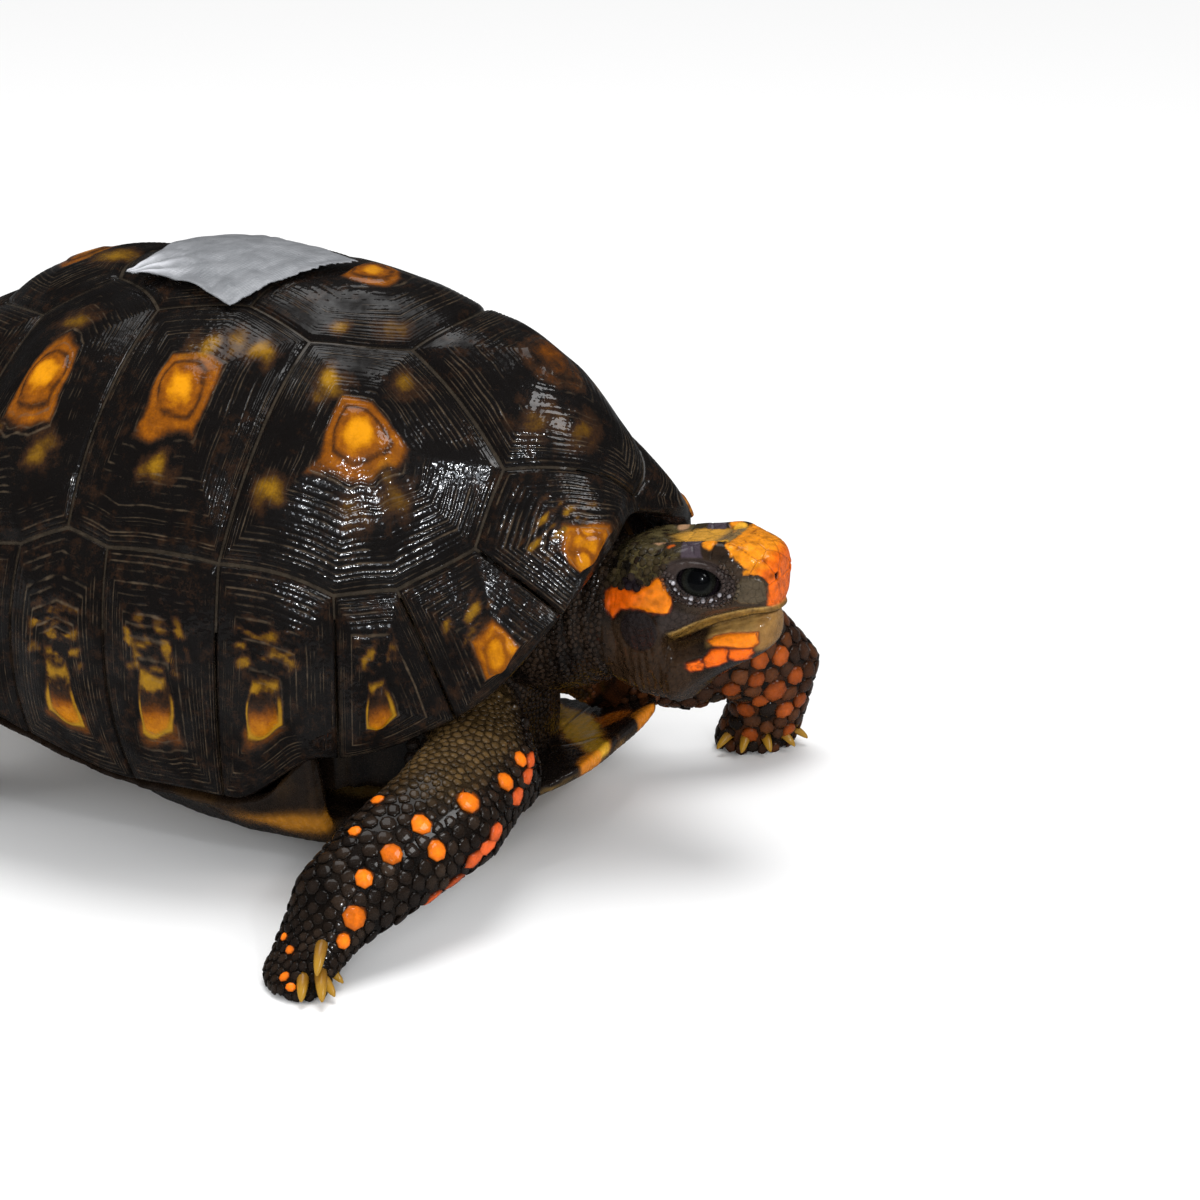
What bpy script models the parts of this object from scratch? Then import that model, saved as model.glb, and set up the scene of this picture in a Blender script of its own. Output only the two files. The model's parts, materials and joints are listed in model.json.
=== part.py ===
"""Red-footed tortoise at life size, standing mid stride: a still display model. Metres, +Z up, head to -Y."""
import math

import bmesh
import bpy
import numpy as np

# Carapace, measured from its highest point: x to the left, f forwards, z above the floor.
LENGTH = 0.300
HALF_WIDTH = 0.0975
FRONT = 0.1402
TOP = 0.1730
PLAN_FRONT = 1.86
PLAN_REAR = 2.25
CROWN = 0.625
HANDLE_FRONT, HANDLE_SIDE, HANDLE_REAR = 0.647, 0.543, 0.544
RIM_FRONT, RIM_SIDE, RIM_REAR = 0.1051, 0.0433, 0.0535
FLARE_FRONT, FLARE_SIDE, FLARE_REAR = 34.5, -21.9, 12.5
NOTCH, NOTCH_WIDTH = 0.0108, 9.0
RIM_DIP, RIM_DIP_AT, RIM_DIP_WIDTH = 0.0069, 27.0, 10.0
BRIDGE_DROP = 0.080
BRIDGE = (52.0, 68.0, 88.0, 118.0)
MARGINAL_BULGE = 0.0030
PLATE = 0.0050
SEAM = 0.0017
GAP = 0.0004
LINING = 0.0014

# Corners of the horny plates in plan: fractions of the rim's radius, to the side and forwards.
CORNERS = {
    "a": (0.0, 0.947), "b": (0.137, 0.369), "c": (0.184, 0.090), "d": (0.100, -0.157),
    "e": (0.085, -0.345), "f": (0.085, -0.690), "g": (0.219, 0.226), "h": (0.221, -0.067),
    "i": (0.185, -0.258), "j": (0.190, -0.665), "k": (0.219, 0.671), "l": (0.337, 0.714),
    "m": (0.486, 0.619), "n": (0.575, 0.505), "o": (0.643, 0.259), "p": (0.666, 0.017),
    "q": (0.641, -0.082), "r": (0.661, -0.200), "s": (0.640, -0.330), "t": (0.595, -0.420),
    "u": (0.535, -0.500), "v": (0.410, -0.600), "w": (0.290, -0.655),
}
VERTEBRALS = {"vertebral_1": "akb", "vertebral_2": "bgc", "vertebral_3": "chd",
              "vertebral_4": "die", "vertebral_5": "ejf"}
COSTALS = {"costal_1": "bklmnog", "costal_2": "gopqhc", "costal_3": "hqrstid", "costal_4": "ituvwje"}
BULGE = {"vertebral_1": 0.003, "vertebral_2": 0.0015, "vertebral_3": 0.002, "vertebral_4": 0.0035,
         "vertebral_5": 0.003, "costal_1": 0.004, "costal_2": 0.004, "costal_3": 0.004, "costal_4": 0.004}
# Each run of marginal plates: the corners along its upper seam, and the rim's bearing below each corner.
MARGINALS = {"marginals_front": ("aklmn", (0.0, 12.0, 18.2, 32.8, 49.7)),
             "marginals_bridge": ("nopqrs", (49.7, 69.4, 88.0, 98.0, 108.0, 126.0)),
             "marginals_rear": ("stuvwjf", (126.0, 133.0, 141.0, 153.5, 164.5, 170.0, 173.0))}

# Plastron.
BELLY = 0.0110
BELLY_THICK = 0.0060
FRONT_LOBE, FRONT_LOBE_RISE, FRONT_LOBE_HALF = 0.1250, 0.0150, 0.0400
REAR_LOBE, REAR_LOBE_RISE, REAR_LOBE_HALF = -0.1200, 0.0030, 0.0360
BELLY_TILT_FROM, BELLY_TILT = 0.0350, 0.1250
BELLY_HALF = 0.0810


def rim_radius(angle):
    c = np.abs(np.cos(angle)) / HALF_WIDTH
    s = np.sin(angle)
    ahead = s > 0
    power = np.where(ahead, PLAN_FRONT, PLAN_REAR)
    reach = np.where(ahead, FRONT, LENGTH - FRONT)
    return 1 / (c**power + (np.abs(s) / reach) ** power) ** (1 / power)


def rim_stretch(angle):
    """How far down the plates reach, as a share of the profile: past 1 along the bridge."""
    bearing = np.degrees(np.abs((angle - math.pi / 2 + math.pi) % (2 * math.pi) - math.pi))
    a, b, c, d = BRIDGE
    rise = np.clip((bearing - a) / (b - a), 0, 1) * np.clip((d - bearing) / (d - c), 0, 1)
    return 1 + BRIDGE_DROP * rise * rise * (3 - 2 * rise)


def dome(a, b):
    """The carapace's smooth surface over plan coordinates a (to the left) and b (forwards)."""
    a, b = np.broadcast_arrays(np.asarray(a, float), np.asarray(b, float))
    t = np.hypot(a, b)
    angle = np.arctan2(b, a)
    c, s = np.cos(angle), np.sin(angle)
    bearing = np.degrees(np.abs((angle - math.pi / 2 + math.pi) % (2 * math.pi) - math.pi))
    r = rim_radius(angle) - NOTCH * np.exp(-((bearing / NOTCH_WIDTH) ** 2)) * np.minimum(t, 1) ** 6
    ahead, behind = np.maximum(s, 0), np.maximum(-s, 0)
    lift = np.clip((ahead - 0.612) / 0.388, 0, 1) ** 2.47
    rim = RIM_SIDE + (RIM_FRONT - RIM_SIDE) * lift + (RIM_REAR - RIM_SIDE) * behind**3
    rim = rim - RIM_DIP * np.exp(-(((bearing - RIM_DIP_AT) / RIM_DIP_WIDTH) ** 2))
    flare = FLARE_SIDE + (FLARE_FRONT - FLARE_SIDE) * ahead**2 + (FLARE_REAR - FLARE_SIDE) * behind**2
    flare = np.radians(flare)
    handle = HANDLE_SIDE + (HANDLE_FRONT - HANDLE_SIDE) * ahead**2 + (HANDLE_REAR - HANDLE_SIDE) * behind**2
    h = (TOP - rim) * handle
    u = 1 - t
    b0, b1, b2, b3 = u**3, 3 * t * u**2, 3 * t * t * u, t**3
    radius = b1 * CROWN * r + b2 * (r - h * np.sin(flare)) + b3 * r
    z = (b0 + b1) * TOP + b2 * (rim + h * np.cos(flare)) + b3 * rim
    return np.stack([radius * c, radius * s, z], -1)


def shell(a, b, out=0.0):
    """A point of the carapace moved outwards along its normal. The result is x, y, z with y backwards."""
    a, b = np.broadcast_arrays(np.asarray(a, float), np.asarray(b, float))
    step = 2e-3
    normal = np.cross(dome(a + step, b) - dome(a - step, b), dome(a, b + step) - dome(a, b - step))
    normal /= np.linalg.norm(normal, axis=-1, keepdims=True)
    p = dome(a, b) + normal * np.asarray(out)[..., None]
    return p * np.array([1.0, -1.0, 1.0])


MATERIALS = {
    "scute_black": ((0.020, 0.014, 0.010), 0.18), "belly_horn": ((0.10, 0.055, 0.02), 0.25),
    "skin_brown": ((0.050, 0.032, 0.022), 0.5), "jaw_horn": ((0.30, 0.19, 0.08), 0.35),
    "eye_black": ((0.01, 0.008, 0.008), 0.05), "claw_horn": ((0.35, 0.22, 0.06), 0.3),
    "tape_grey": ((0.33, 0.35, 0.38), 0.35),
}


def make(name, points, faces, slot):
    """A named object from points and faces, with its faces turned outwards."""
    mesh = bpy.data.meshes.new(name)
    bm = bmesh.new()
    verts = [bm.verts.new(p) for p in points]
    for face in faces:
        bm.faces.new([verts[i] for i in face])
    bmesh.ops.remove_doubles(bm, verts=bm.verts, dist=1e-6)
    bmesh.ops.triangulate(bm, faces=bm.faces)
    bmesh.ops.recalc_face_normals(bm, faces=bm.faces)
    bm.to_mesh(mesh)
    bm.free()
    mesh.shade_smooth()
    mesh.set_sharp_from_angle(angle=math.radians(38))
    obj = bpy.data.objects.new(name, mesh)
    bpy.context.collection.objects.link(obj)
    if slot:
        material = bpy.data.materials.get(slot) or bpy.data.materials.new(slot)
        material.use_nodes = True
        colour, rough = MATERIALS[slot]
        shader = material.node_tree.nodes["Principled BSDF"]
        shader.inputs["Base Color"].default_value = (*colour, 1.0)
        shader.inputs["Roughness"].default_value = rough
        mesh.materials.append(material)
    return obj


def loft(name, rings, slot, flat=False):
    """A solid through rings of equal count. A flat ring goes out along one face and back along the other."""
    count = len(rings[0])
    points = [p for ring in rings for p in ring]
    faces = []
    for i in range(len(rings) - 1):
        for j in range(count):
            k = (j + 1) % count
            faces.append((i * count + j, i * count + k, (i + 1) * count + k, (i + 1) * count + j))
    for start in (0, (len(rings) - 1) * count):
        if flat:
            last = start + count - 1
            faces += [(start + j, start + j + 1, last - 1 - j, last - j) for j in range(count // 2 - 1)]
        else:
            middle = np.mean(points[start:start + count], axis=0)
            points.append(middle)
            faces += [(start + j, start + (j + 1) % count, len(points) - 1) for j in range(count)]
    return make(name, points, faces, slot)


def outline(corners, side):
    """The plan outline of a plate, its seams divided alike on both sides of each seam."""
    path = []
    for p, q in zip(corners, corners[1:] + corners[:1]):
        steps = max(1, math.ceil(math.dist(p, q) / 0.11))
        path += [(p[0] + (q[0] - p[0]) * i / steps, p[1] + (q[1] - p[1]) * i / steps) for i in range(steps)]
    return np.array([(side * a, b) for a, b in path])


def inset(path, distance):
    """The closed outline moved inwards by the distance."""
    area = np.sum(path[:, 0] * np.roll(path[:, 1], -1) - path[:, 1] * np.roll(path[:, 0], -1))
    edge = np.roll(path, -1, axis=0) - path
    normal = np.stack([-edge[:, 1], edge[:, 0]], 1) * np.sign(area)
    normal /= np.linalg.norm(normal, axis=1, keepdims=True)
    before = np.roll(normal, 1, axis=0)
    return path + (normal + before) / (1 + np.sum(normal * before, axis=1, keepdims=True)) * distance


def plate(name, corners, side, bulge):
    """One horny plate of the carapace, thickest in its middle."""
    path = inset(outline(corners, side), SEAM)
    centre = path.mean(axis=0)
    rings = []
    for share, out in ((1, 0), (0.62, 0.72), (0.28, 1)):
        p = centre + (path - centre) * share
        rings.append(shell(p[:, 0], p[:, 1], bulge * out))
    for share in (0.5, 1):
        p = centre + (path - centre) * share
        rings.append(shell(p[:, 0], p[:, 1], -PLATE))
    top = shell(*centre, bulge)
    bottom = shell(*centre, -PLATE)
    count = len(path)
    points = [top, bottom] + [p for ring in rings for p in ring]

    def at(ring, j):
        return 2 + ring * count + j % count

    faces = []
    for j in range(count):
        faces.append((0, at(2, j), at(2, j + 1)))
        faces.append((1, at(3, j + 1), at(3, j)))
        for low, high in ((2, 1), (1, 0), (0, 4), (4, 3)):
            faces.append((at(low, j), at(high, j), at(high, j + 1), at(low, j + 1)))
    return make(name, points, faces, "scute_black")


def strip(name, top, low, slot, rows=4):
    """Marginal plates between an upper seam and the rim, both given as plan points."""
    top, low = np.array(top), np.array(low)
    span = low - top
    length = np.linalg.norm(span, axis=1, keepdims=True)
    top = top + span / length * SEAM
    grid = np.stack([top + (low - top) * i / rows for i in range(rows + 1)], 1)
    for end, near in ((0, 1), (-1, -2)):
        step = grid[near] - grid[end]
        grid[end] = grid[end] + step / np.linalg.norm(step, axis=1, keepdims=True) * SEAM * 1.4
    outer = shell(grid[..., 0], grid[..., 1], 0.0)
    outer[:, 1:-1] = shell(grid[:, 1:-1, 0], grid[:, 1:-1, 1], MARGINAL_BULGE)
    inner = shell(grid[..., 0], grid[..., 1], -PLATE)[:, ::-1]
    rings = [np.concatenate([o, i]) for o, i in zip(outer, inner)]
    return loft(name, rings, slot, flat=True)


def carapace():
    for name, keys in VERTEBRALS.items():
        right = [CORNERS[k] for k in keys]
        left = [(-a, b) for a, b in reversed(right) if a > 0]
        plate(name, right + left, 1, BULGE[name])
    for side, word in ((1, "left"), (-1, "right")):
        for name, keys in COSTALS.items():
            plate(f"{name}_{word}", [CORNERS[k] for k in keys], side, BULGE[name])
        for name, (keys, bearings) in MARGINALS.items():
            top, low = seam_and_rim(keys, bearings)
            flip = np.array([side, 1])
            strip(f"{name}_{word}", top * flip, low * flip, "scute_black")
    top, low = seam_and_rim("f", (173.0,))
    across = np.linspace(-1, 1, 5)[:, None]
    angle = np.radians(270 + 7 * across[:, 0])
    strip("supracaudal", np.concatenate([across * top[0, 0], 0 * across + top[0, 1]], 1),
          np.stack([np.cos(angle), np.sin(angle)], 1), "scute_black")


def seam_and_rim(keys, bearings):
    """Plan points along the upper seam and the rim, for the left side."""
    top, bearing = [], []
    for i in range(len(keys) - 1):
        p, q = CORNERS[keys[i]], CORNERS[keys[i + 1]]
        steps = max(1, math.ceil(math.dist(p, q) / 0.11))
        for j in range(steps):
            share = j / steps
            top.append((p[0] + (q[0] - p[0]) * share, p[1] + (q[1] - p[1]) * share))
            bearing.append(bearings[i] + (bearings[i + 1] - bearings[i]) * share)
    top.append(CORNERS[keys[-1]])
    bearing.append(bearings[-1])
    angle = math.pi / 2 - np.radians(bearing)
    reach = rim_stretch(angle)
    return np.array(top), np.stack([np.cos(angle) * reach, np.sin(angle) * reach], 1)


def belly(f):
    """Height of the plastron's underside."""
    ahead = np.clip((f - 0.070) / (FRONT_LOBE - 0.070), 0, 1)
    behind = np.clip((-0.065 - f) / (-0.065 - REAR_LOBE), 0, 1)
    tilt = np.clip(BELLY_TILT_FROM - f, 0, 0.085) * BELLY_TILT
    return BELLY + tilt + FRONT_LOBE_RISE * ahead**1.6 + REAR_LOBE_RISE * behind**1.6


def belly_half(f):
    """Half width of the plastron between the lobes: it narrows backwards."""
    return BELLY_HALF - 0.30 * np.maximum(0.015 - f, 0) ** 1.15


def lobe(name, stations, halves, slot, grow=0.0):
    rings = []
    for f, half in zip(stations, halves):
        x = np.linspace(-half - grow, half + grow, 7)
        low = belly(f) + 0.0020 * (np.abs(x) / (half + grow)) ** 4 - grow
        high = np.full_like(x, belly(f) + BELLY_THICK + grow)
        y = np.full_like(x, -f)
        rings.append(np.concatenate([np.stack([x, y, low], 1), np.stack([x, y, high], 1)[::-1]]))
    return loft(name, rings, slot, flat=True)


def plastron(grow=0.0, suffix="", slot="belly_horn"):
    """The belly plates: front lobe, bridge with its sides turned up to the marginals, and rear lobe."""
    bearings = np.radians(np.linspace(54.0, 119.0, 9))
    angle = math.pi / 2 - bearings
    reach = rim_stretch(angle) + 0.010 - grow * 8
    a, b = np.cos(angle) * reach, np.sin(angle) * reach
    outer, inner = shell(a, b, grow), shell(a, b, -PLATE - grow)
    rings = []
    for o, i in zip(outer, inner):
        floor = belly(-o[1])
        half = min(belly_half(-o[1]), o[0] - 0.002)
        under, over = floor - grow, floor + BELLY_THICK + grow
        wall = [o, (half + grow, o[1], floor + 0.007), (half - 0.007, o[1], under), (0.03, o[1], under)]
        back = [(0.03, o[1], over), (half - 0.010 - grow, o[1], over),
                (half - PLATE - grow, o[1], floor + 0.011), (i[0], i[1], i[2])]
        side = np.array(wall + back)
        flip = side * np.array([-1, 1, 1])
        rings.append(np.concatenate([side[:4], flip[:4][::-1], flip[4:][::-1], side[4:]]))
    loft("plastron_bridge" + suffix, rings, slot, flat=True)
    start, end = -outer[0][1] + GAP, -outer[-1][1] - GAP
    share = np.array([0, 0.25, 0.5, 0.75, 0.92, 1])
    tip = FRONT_LOBE_HALF
    halves = np.array([BELLY_HALF - 0.020, 0.0530, 0.0480, 0.0450, tip, tip - 0.012])
    lobe("plastron_front" + suffix, start + (FRONT_LOBE - start) * share, halves, slot, grow)
    tip = REAR_LOBE_HALF
    halves = np.array([0.0540, 0.0500, 0.0450, 0.0425, tip, tip - 0.016])
    lobe("plastron_rear" + suffix, end + (REAR_LOBE - end) * share, halves, slot, grow)


def opening(bearing):
    """How far out the flesh under the shell reaches: back from the front, the legs and the tail."""
    knots = (0, 20, 40, 58, 70, 110, 122, 140, 160, 180)
    reach = (0.60, 0.60, 0.62, 0.80, 1.0, 1.0, 0.80, 0.62, 0.58, 0.58)
    return np.interp(bearing, knots, reach)


def trunk(name, slot, grow=0.0, count=44):
    rings = []
    angle = np.linspace(0, 2 * math.pi, count, endpoint=False)
    bearing = np.degrees(np.abs((angle - math.pi / 2 + math.pi) % (2 * math.pi) - math.pi))
    reach = opening(bearing)
    for share in (0.12, 0.3, 0.5, 0.7, 0.86, 1.0):
        t = reach * share
        rings.append(shell(t * np.cos(angle), t * np.sin(angle), -PLATE - LINING + grow))
    edge = rings[-1].copy()
    room = belly_half(-edge[:, 1]) - 0.0150
    narrow = np.minimum(1.0, room / np.maximum(np.abs(edge[:, 0]), 1e-6))
    for level, inwards in ((0.45, 0.85), (1.0, 1.0)):
        low = edge.copy()
        low[:, 0] *= 1 + (narrow - 1) * inwards
        low[:, :2] += low[:, :2] / np.linalg.norm(low[:, :2], axis=1, keepdims=True) * grow
        ground = belly(-low[:, 1]) + BELLY_THICK + LINING - grow
        bottom = np.maximum(ground, np.where(np.abs(low[:, 0]) > 0.050, ground + 0.005, 0))
        low[:, 2] = edge[:, 2] + (bottom - edge[:, 2]) * level
        rings.append(low)
    last = rings[-1].copy()
    last[:, :2] *= 0.5
    last[:, 2] = belly(-last[:, 1]) + BELLY_THICK + LINING - grow
    rings.append(last)
    return loft(name, rings, slot)


def tube(name, path, radii, slot, up=(0, 0, 1), sides=14, sole=None):
    """A limb through the points of the path; radii holds its half widths across and along 'up' at each.

    sole is the flat foot: its centre in x and y, the way its first axis points, and its two half lengths.
    """
    path = np.array(path, float)
    turn = np.linspace(0, 2 * math.pi, sides, endpoint=False)
    rings = []
    for i, p in enumerate(path):
        along = path[min(i + 1, len(path) - 1)] - path[max(i - 1, 0)]
        along /= np.linalg.norm(along)
        across = np.cross(up, along)
        across /= np.linalg.norm(across)
        rise = np.cross(along, across)
        wide, thick = radii[i]
        rings.append(p + np.outer(np.cos(turn) * wide, across) + np.outer(np.sin(turn) * thick, rise))
    if sole:
        centre, axis, half, other = sole
        axis = np.array([*axis, 0.0]) / np.linalg.norm(axis)
        second = np.cross((0, 0, -1), axis)
        middle = np.array([*centre, 0.0])
        flat = np.outer(np.cos(turn) * half, axis) + np.outer(np.sin(turn) * other, second)
        rings.append(middle + flat * 1.04 + (0, 0, 0.0035))
        rings.append(middle + flat * 0.94)
    return loft(name, rings, slot)


def cut(obj, cutter):
    cutter.hide_render = True
    cutter.display_type = "WIRE"
    modifier = obj.modifiers.new(cutter.name, "BOOLEAN")
    modifier.operation = "DIFFERENCE"
    modifier.solver = "EXACT"
    modifier.object = cutter


def section(f, half, low, high, power=2.3, crown_power=3.3, sides=16):
    """A head section at forward distance f, between two heights, squarer towards the crown."""
    turn = np.linspace(0, 2 * math.pi, sides, endpoint=False)
    c, s = np.cos(turn), np.sin(turn)
    power = np.where(s > 0.01, crown_power, power)
    x = half * np.sign(c) * np.abs(c) ** (2 / power)
    z = (low + high) / 2 + (high - low) / 2 * np.sign(s) * np.abs(s) ** (2 / power)
    return np.stack([x, np.full_like(x, -f), z], 1)


# Head: forward distance, half width, mouth or throat height, crown height.
HEAD = ((0.1285, 0.0175, 0.0540, 0.0975), (0.1360, 0.0200, 0.0515, 0.1000), (0.1462, 0.0205, 0.0510, 0.1015),
        (0.1468, 0.0205, 0.0705, 0.1016), (0.1550, 0.0182, 0.0740, 0.1027), (0.1640, 0.0154, 0.0775, 0.1032),
        (0.1710, 0.0128, 0.0800, 0.1028), (0.1758, 0.0104, 0.0805, 0.1014), (0.1786, 0.0066, 0.0812, 0.0988))
JAW = ((0.1472, 0.0190, 0.0505, 0.0700), (0.1550, 0.0168, 0.0530, 0.0735), (0.1640, 0.0140, 0.0580, 0.0770),
       (0.1710, 0.0110, 0.0635, 0.0795), (0.1752, 0.0082, 0.0680, 0.0798), (0.1775, 0.0048, 0.0713, 0.0800))
EYE = (0.0117, -0.1555, 0.0899)
EYE_RADIUS = 0.0068
NECK = ((0, -0.070, 0.066), (0, -0.090, 0.067), (0, -0.108, 0.070), (0, -0.1180, 0.0755),
        (0, -0.1274, 0.0758))
NECK_RADII = ((0.024, 0.021), (0.0235, 0.021), (0.0230, 0.0210), (0.0220, 0.0210), (0.0195, 0.0205))


def head():
    skull = loft("head", [section(*row) for row in HEAD], "skin_brown")
    loft("lower_jaw", [section(f, w, lo, hi - 0.0003, 2.3, 2.3) for f, w, lo, hi in JAW], "jaw_horn")
    for side, word in ((1, "left"), (-1, "right")):
        spot = np.array(EYE) * np.array([side, 1, 1])
        for radius, name in ((EYE_RADIUS, f"eye_{word}"), (EYE_RADIUS + 0.0003, f"eye_socket_{word}")):
            bm = bmesh.new()
            bmesh.ops.create_icosphere(bm, subdivisions=2, radius=radius)
            bm.verts.index_update()
            ball = make(name, [np.array(v.co) + spot for v in bm.verts],
                        [[v.index for v in face.verts] for face in bm.faces],
                        "eye_black" if radius == EYE_RADIUS else None)
            bm.free()
        cut(skull, ball)
    return skull


def claw(name, root, tip, width, slot):
    """A curved nail from its root to its tip."""
    root, tip = np.array(root, float), np.array(tip, float)
    middle = (root + tip) / 2 + np.array([0, 0, 0.0012])
    points = [root, middle, tip]
    rings = []
    turn = np.linspace(0, 2 * math.pi, 6, endpoint=False)
    along = (tip - root) / np.linalg.norm(tip - root)
    across = np.cross((0, 0, 1), along)
    across /= np.linalg.norm(across)
    rise = np.cross(along, across)
    for p, scale in zip(points, (1.0, 0.85, 0.25)):
        size = width * scale
        rings.append(p + np.outer(np.cos(turn) * size, across) + np.outer(np.sin(turn) * size * 0.8, rise))
    return loft(name, rings, slot)


# Legs: the path from inside the shell to the ankle, the half widths along it, and the sole.
FORE_RIGHT = ((-0.028, -0.085, 0.046), (-0.055, -0.105, 0.040), (-0.082, -0.106, 0.0335),
              (-0.107, -0.0985, 0.0265), (-0.126, -0.0905, 0.0180))
FORE_LEFT = ((0.028, -0.085, 0.046), (0.0485, -0.1165, 0.0463), (0.066, -0.141, 0.041),
             (0.077, -0.147, 0.028), (0.080, -0.143, 0.0140))
FORE_WIDTHS = ((0.0170, 0.0120), (0.0185, 0.0120), (0.0190, 0.0115), (0.0170, 0.0105), (0.0140, 0.0100))
HIND_RIGHT = ((-0.036, 0.068, 0.054), (-0.056, 0.084, 0.048), (-0.068, 0.093, 0.033), (-0.070, 0.095, 0.019),
              (-0.070, 0.095, 0.009))
HIND_LEFT = ((0.036, 0.070, 0.054), (0.054, 0.094, 0.0455), (0.067, 0.109, 0.0320), (0.071, 0.114, 0.019),
             (0.071, 0.115, 0.009))
HIND_WIDTHS = ((0.017, 0.015), (0.018, 0.0155), (0.0170, 0.0160), (0.0155, 0.0155), (0.0158, 0.0158))
TAIL = ((0, 0.080, 0.050), (0, 0.112, 0.047), (0.002, 0.130, 0.042), (0.006, 0.143, 0.034),
        (0.011, 0.152, 0.026), (0.015, 0.157, 0.0190))
TAIL_WIDTHS = ((0.014, 0.012), (0.0115, 0.0105), (0.0095, 0.0088), (0.0072, 0.0068), (0.0050, 0.0048),
               (0.0018, 0.0018))
# Claws: a row along the front of each sole. Centre, bearing of the row, its curve, and how many.
CLAWS = {
    "fore_left": ((0.0810, -0.1390), (-0.74, -0.67), 5, 0.0105, 0.0145),
    "hind_right": ((-0.0700, 0.0950), (-0.35, -0.94), 4, 0.0155, 0.0155),
    "hind_left": ((0.0710, 0.1155), (0.35, -0.94), 4, 0.0155, 0.0155),
}
# The right fore foot is planted on its edge, so its nails are placed one by one: root, then tip.
EDGE_CLAWS = (((-0.1425, -0.0975, 0.0175), (-0.1502, -0.0990, 0.0075)),
              ((-0.1440, -0.0990, 0.0085), (-0.1535, -0.1030, 0.0020)),
              ((-0.1440, -0.0920, 0.0055), (-0.1545, -0.0965, 0.0013)),
              ((-0.1405, -0.0945, 0.0052), (-0.1465, -0.1045, 0.0013)),
              ((-0.1345, -0.0915, 0.0052), (-0.1375, -0.1030, 0.0013)))
CLAW_LENGTH = 0.0095
CLAW_WIDTH = 0.0021


def claws(limb, leg):
    """The nails of one foot, each set in a socket of its own in the leg."""
    for i, (root, tip) in enumerate(EDGE_CLAWS if limb == "fore_right" else row_of_claws(limb)):
        claw(f"claw_{limb}_{i + 1}", root, tip, CLAW_WIDTH, "claw_horn")
        cut(leg, claw(f"claw_cut_{limb}_{i + 1}", root, tip, CLAW_WIDTH + 0.0003, None))


def row_of_claws(limb):
    """Roots and tips of nails in an even row along the front of a sole."""
    centre, facing, count, reach, spread = CLAWS[limb]
    facing = np.array(facing) / np.linalg.norm(facing)
    beside = np.array([facing[1], -facing[0]])
    for i in range(count):
        swing = math.radians((i - (count - 1) / 2) * (32 if count == 5 else 30))
        way = facing * math.cos(swing) + beside * math.sin(swing)
        edge = facing * math.cos(swing) * reach + beside * math.sin(swing) * spread
        root = np.array([*(np.array(centre) + edge * 0.72), 0.0062])
        tip = np.array([*(np.array(centre) + edge + way * CLAW_LENGTH * 0.62), 0.0013])
        yield root, tip


def tape():
    """A square of cloth tape over the third vertebral plate."""
    corners = np.array([(-0.130, -0.140), (-0.216, 0.072), (0.000, 0.150), (0.090, -0.060)])
    steps = np.linspace(0, 1, 7)
    u, v = np.meshgrid(steps, steps, indexing="ij")
    weights = np.stack([(1 - u) * (1 - v), (1 - u) * v, u * v, u * (1 - v)], -1)
    grid = weights @ corners
    low, high = (shell(grid[..., 0], grid[..., 1], out) for out in (0.0027, 0.0034))
    rings = [np.concatenate([a, b[::-1]]) for a, b in zip(low, high)]
    return loft("tape_patch", rings, "tape_grey", flat=True)


def build():
    for obj in list(bpy.data.objects):
        bpy.data.objects.remove(obj, do_unlink=True)
    carapace()
    plastron()
    trunk("trunk", "skin_brown")
    room = trunk("trunk_room", None, 0.0004)
    plastron(0.0004, "_room", None)
    rear_room = bpy.data.objects["plastron_rear_room"]
    head()
    cut(tube("neck", NECK, NECK_RADII, "skin_brown", sides=16), room)
    tail = tube("tail", TAIL, TAIL_WIDTHS, "skin_brown", sides=12)
    cut(tail, room)
    cut(tail, rear_room)
    legs = {
        "fore_right": tube("leg_fore_right", FORE_RIGHT, FORE_WIDTHS, "skin_brown", (-0.385, -0.53, 0.685),
                           sole=((-0.1400, -0.0870), (-0.57, -0.82), 0.0130, 0.0092)),
        "fore_left": tube("leg_fore_left", FORE_LEFT, FORE_WIDTHS, "skin_brown", (-0.74, -0.67, 0.10),
                          sole=((0.0810, -0.1390), (0.67, -0.74), 0.0145, 0.0105)),
        "hind_right": tube("leg_hind_right", HIND_RIGHT, HIND_WIDTHS, "skin_brown", (-0.6, -0.8, 0.1),
                           sole=((-0.0700, 0.0950), (0.8, -0.6), 0.0155, 0.0155)),
        "hind_left": tube("leg_hind_left", HIND_LEFT, HIND_WIDTHS, "skin_brown", (-0.6, -0.8, 0.1),
                          sole=((0.0710, 0.1155), (0.8, -0.6), 0.0155, 0.0155)),
    }
    for limb, leg in legs.items():
        cut(leg, room)
        cut(leg, bpy.data.objects["plastron_front_room" if "fore" in limb else "plastron_rear_room"])
        claws(limb, leg)
    for name in ("plastron_front_room", "plastron_bridge_room", "plastron_rear_room"):
        bpy.data.objects[name].hide_render = True
    tape()
    recentre()


def recentre():
    """Moves everything so that the footprint's box is centred on the origin, with the soles at zero."""
    bpy.context.view_layer.update()
    seen = [o for o in bpy.data.objects if not o.hide_render]
    points = np.array([o.matrix_world @ v.co for o in seen for v in o.data.vertices])
    low, high = points.min(axis=0), points.max(axis=0)
    shift = np.array([-(low[0] + high[0]) / 2, -(low[1] + high[1]) / 2, -low[2]])
    print("shift", shift, "size", high - low)
    for obj in bpy.data.objects:
        for vertex in obj.data.vertices:
            vertex.co = [c + d for c, d in zip(vertex.co, shift)]


build()
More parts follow.
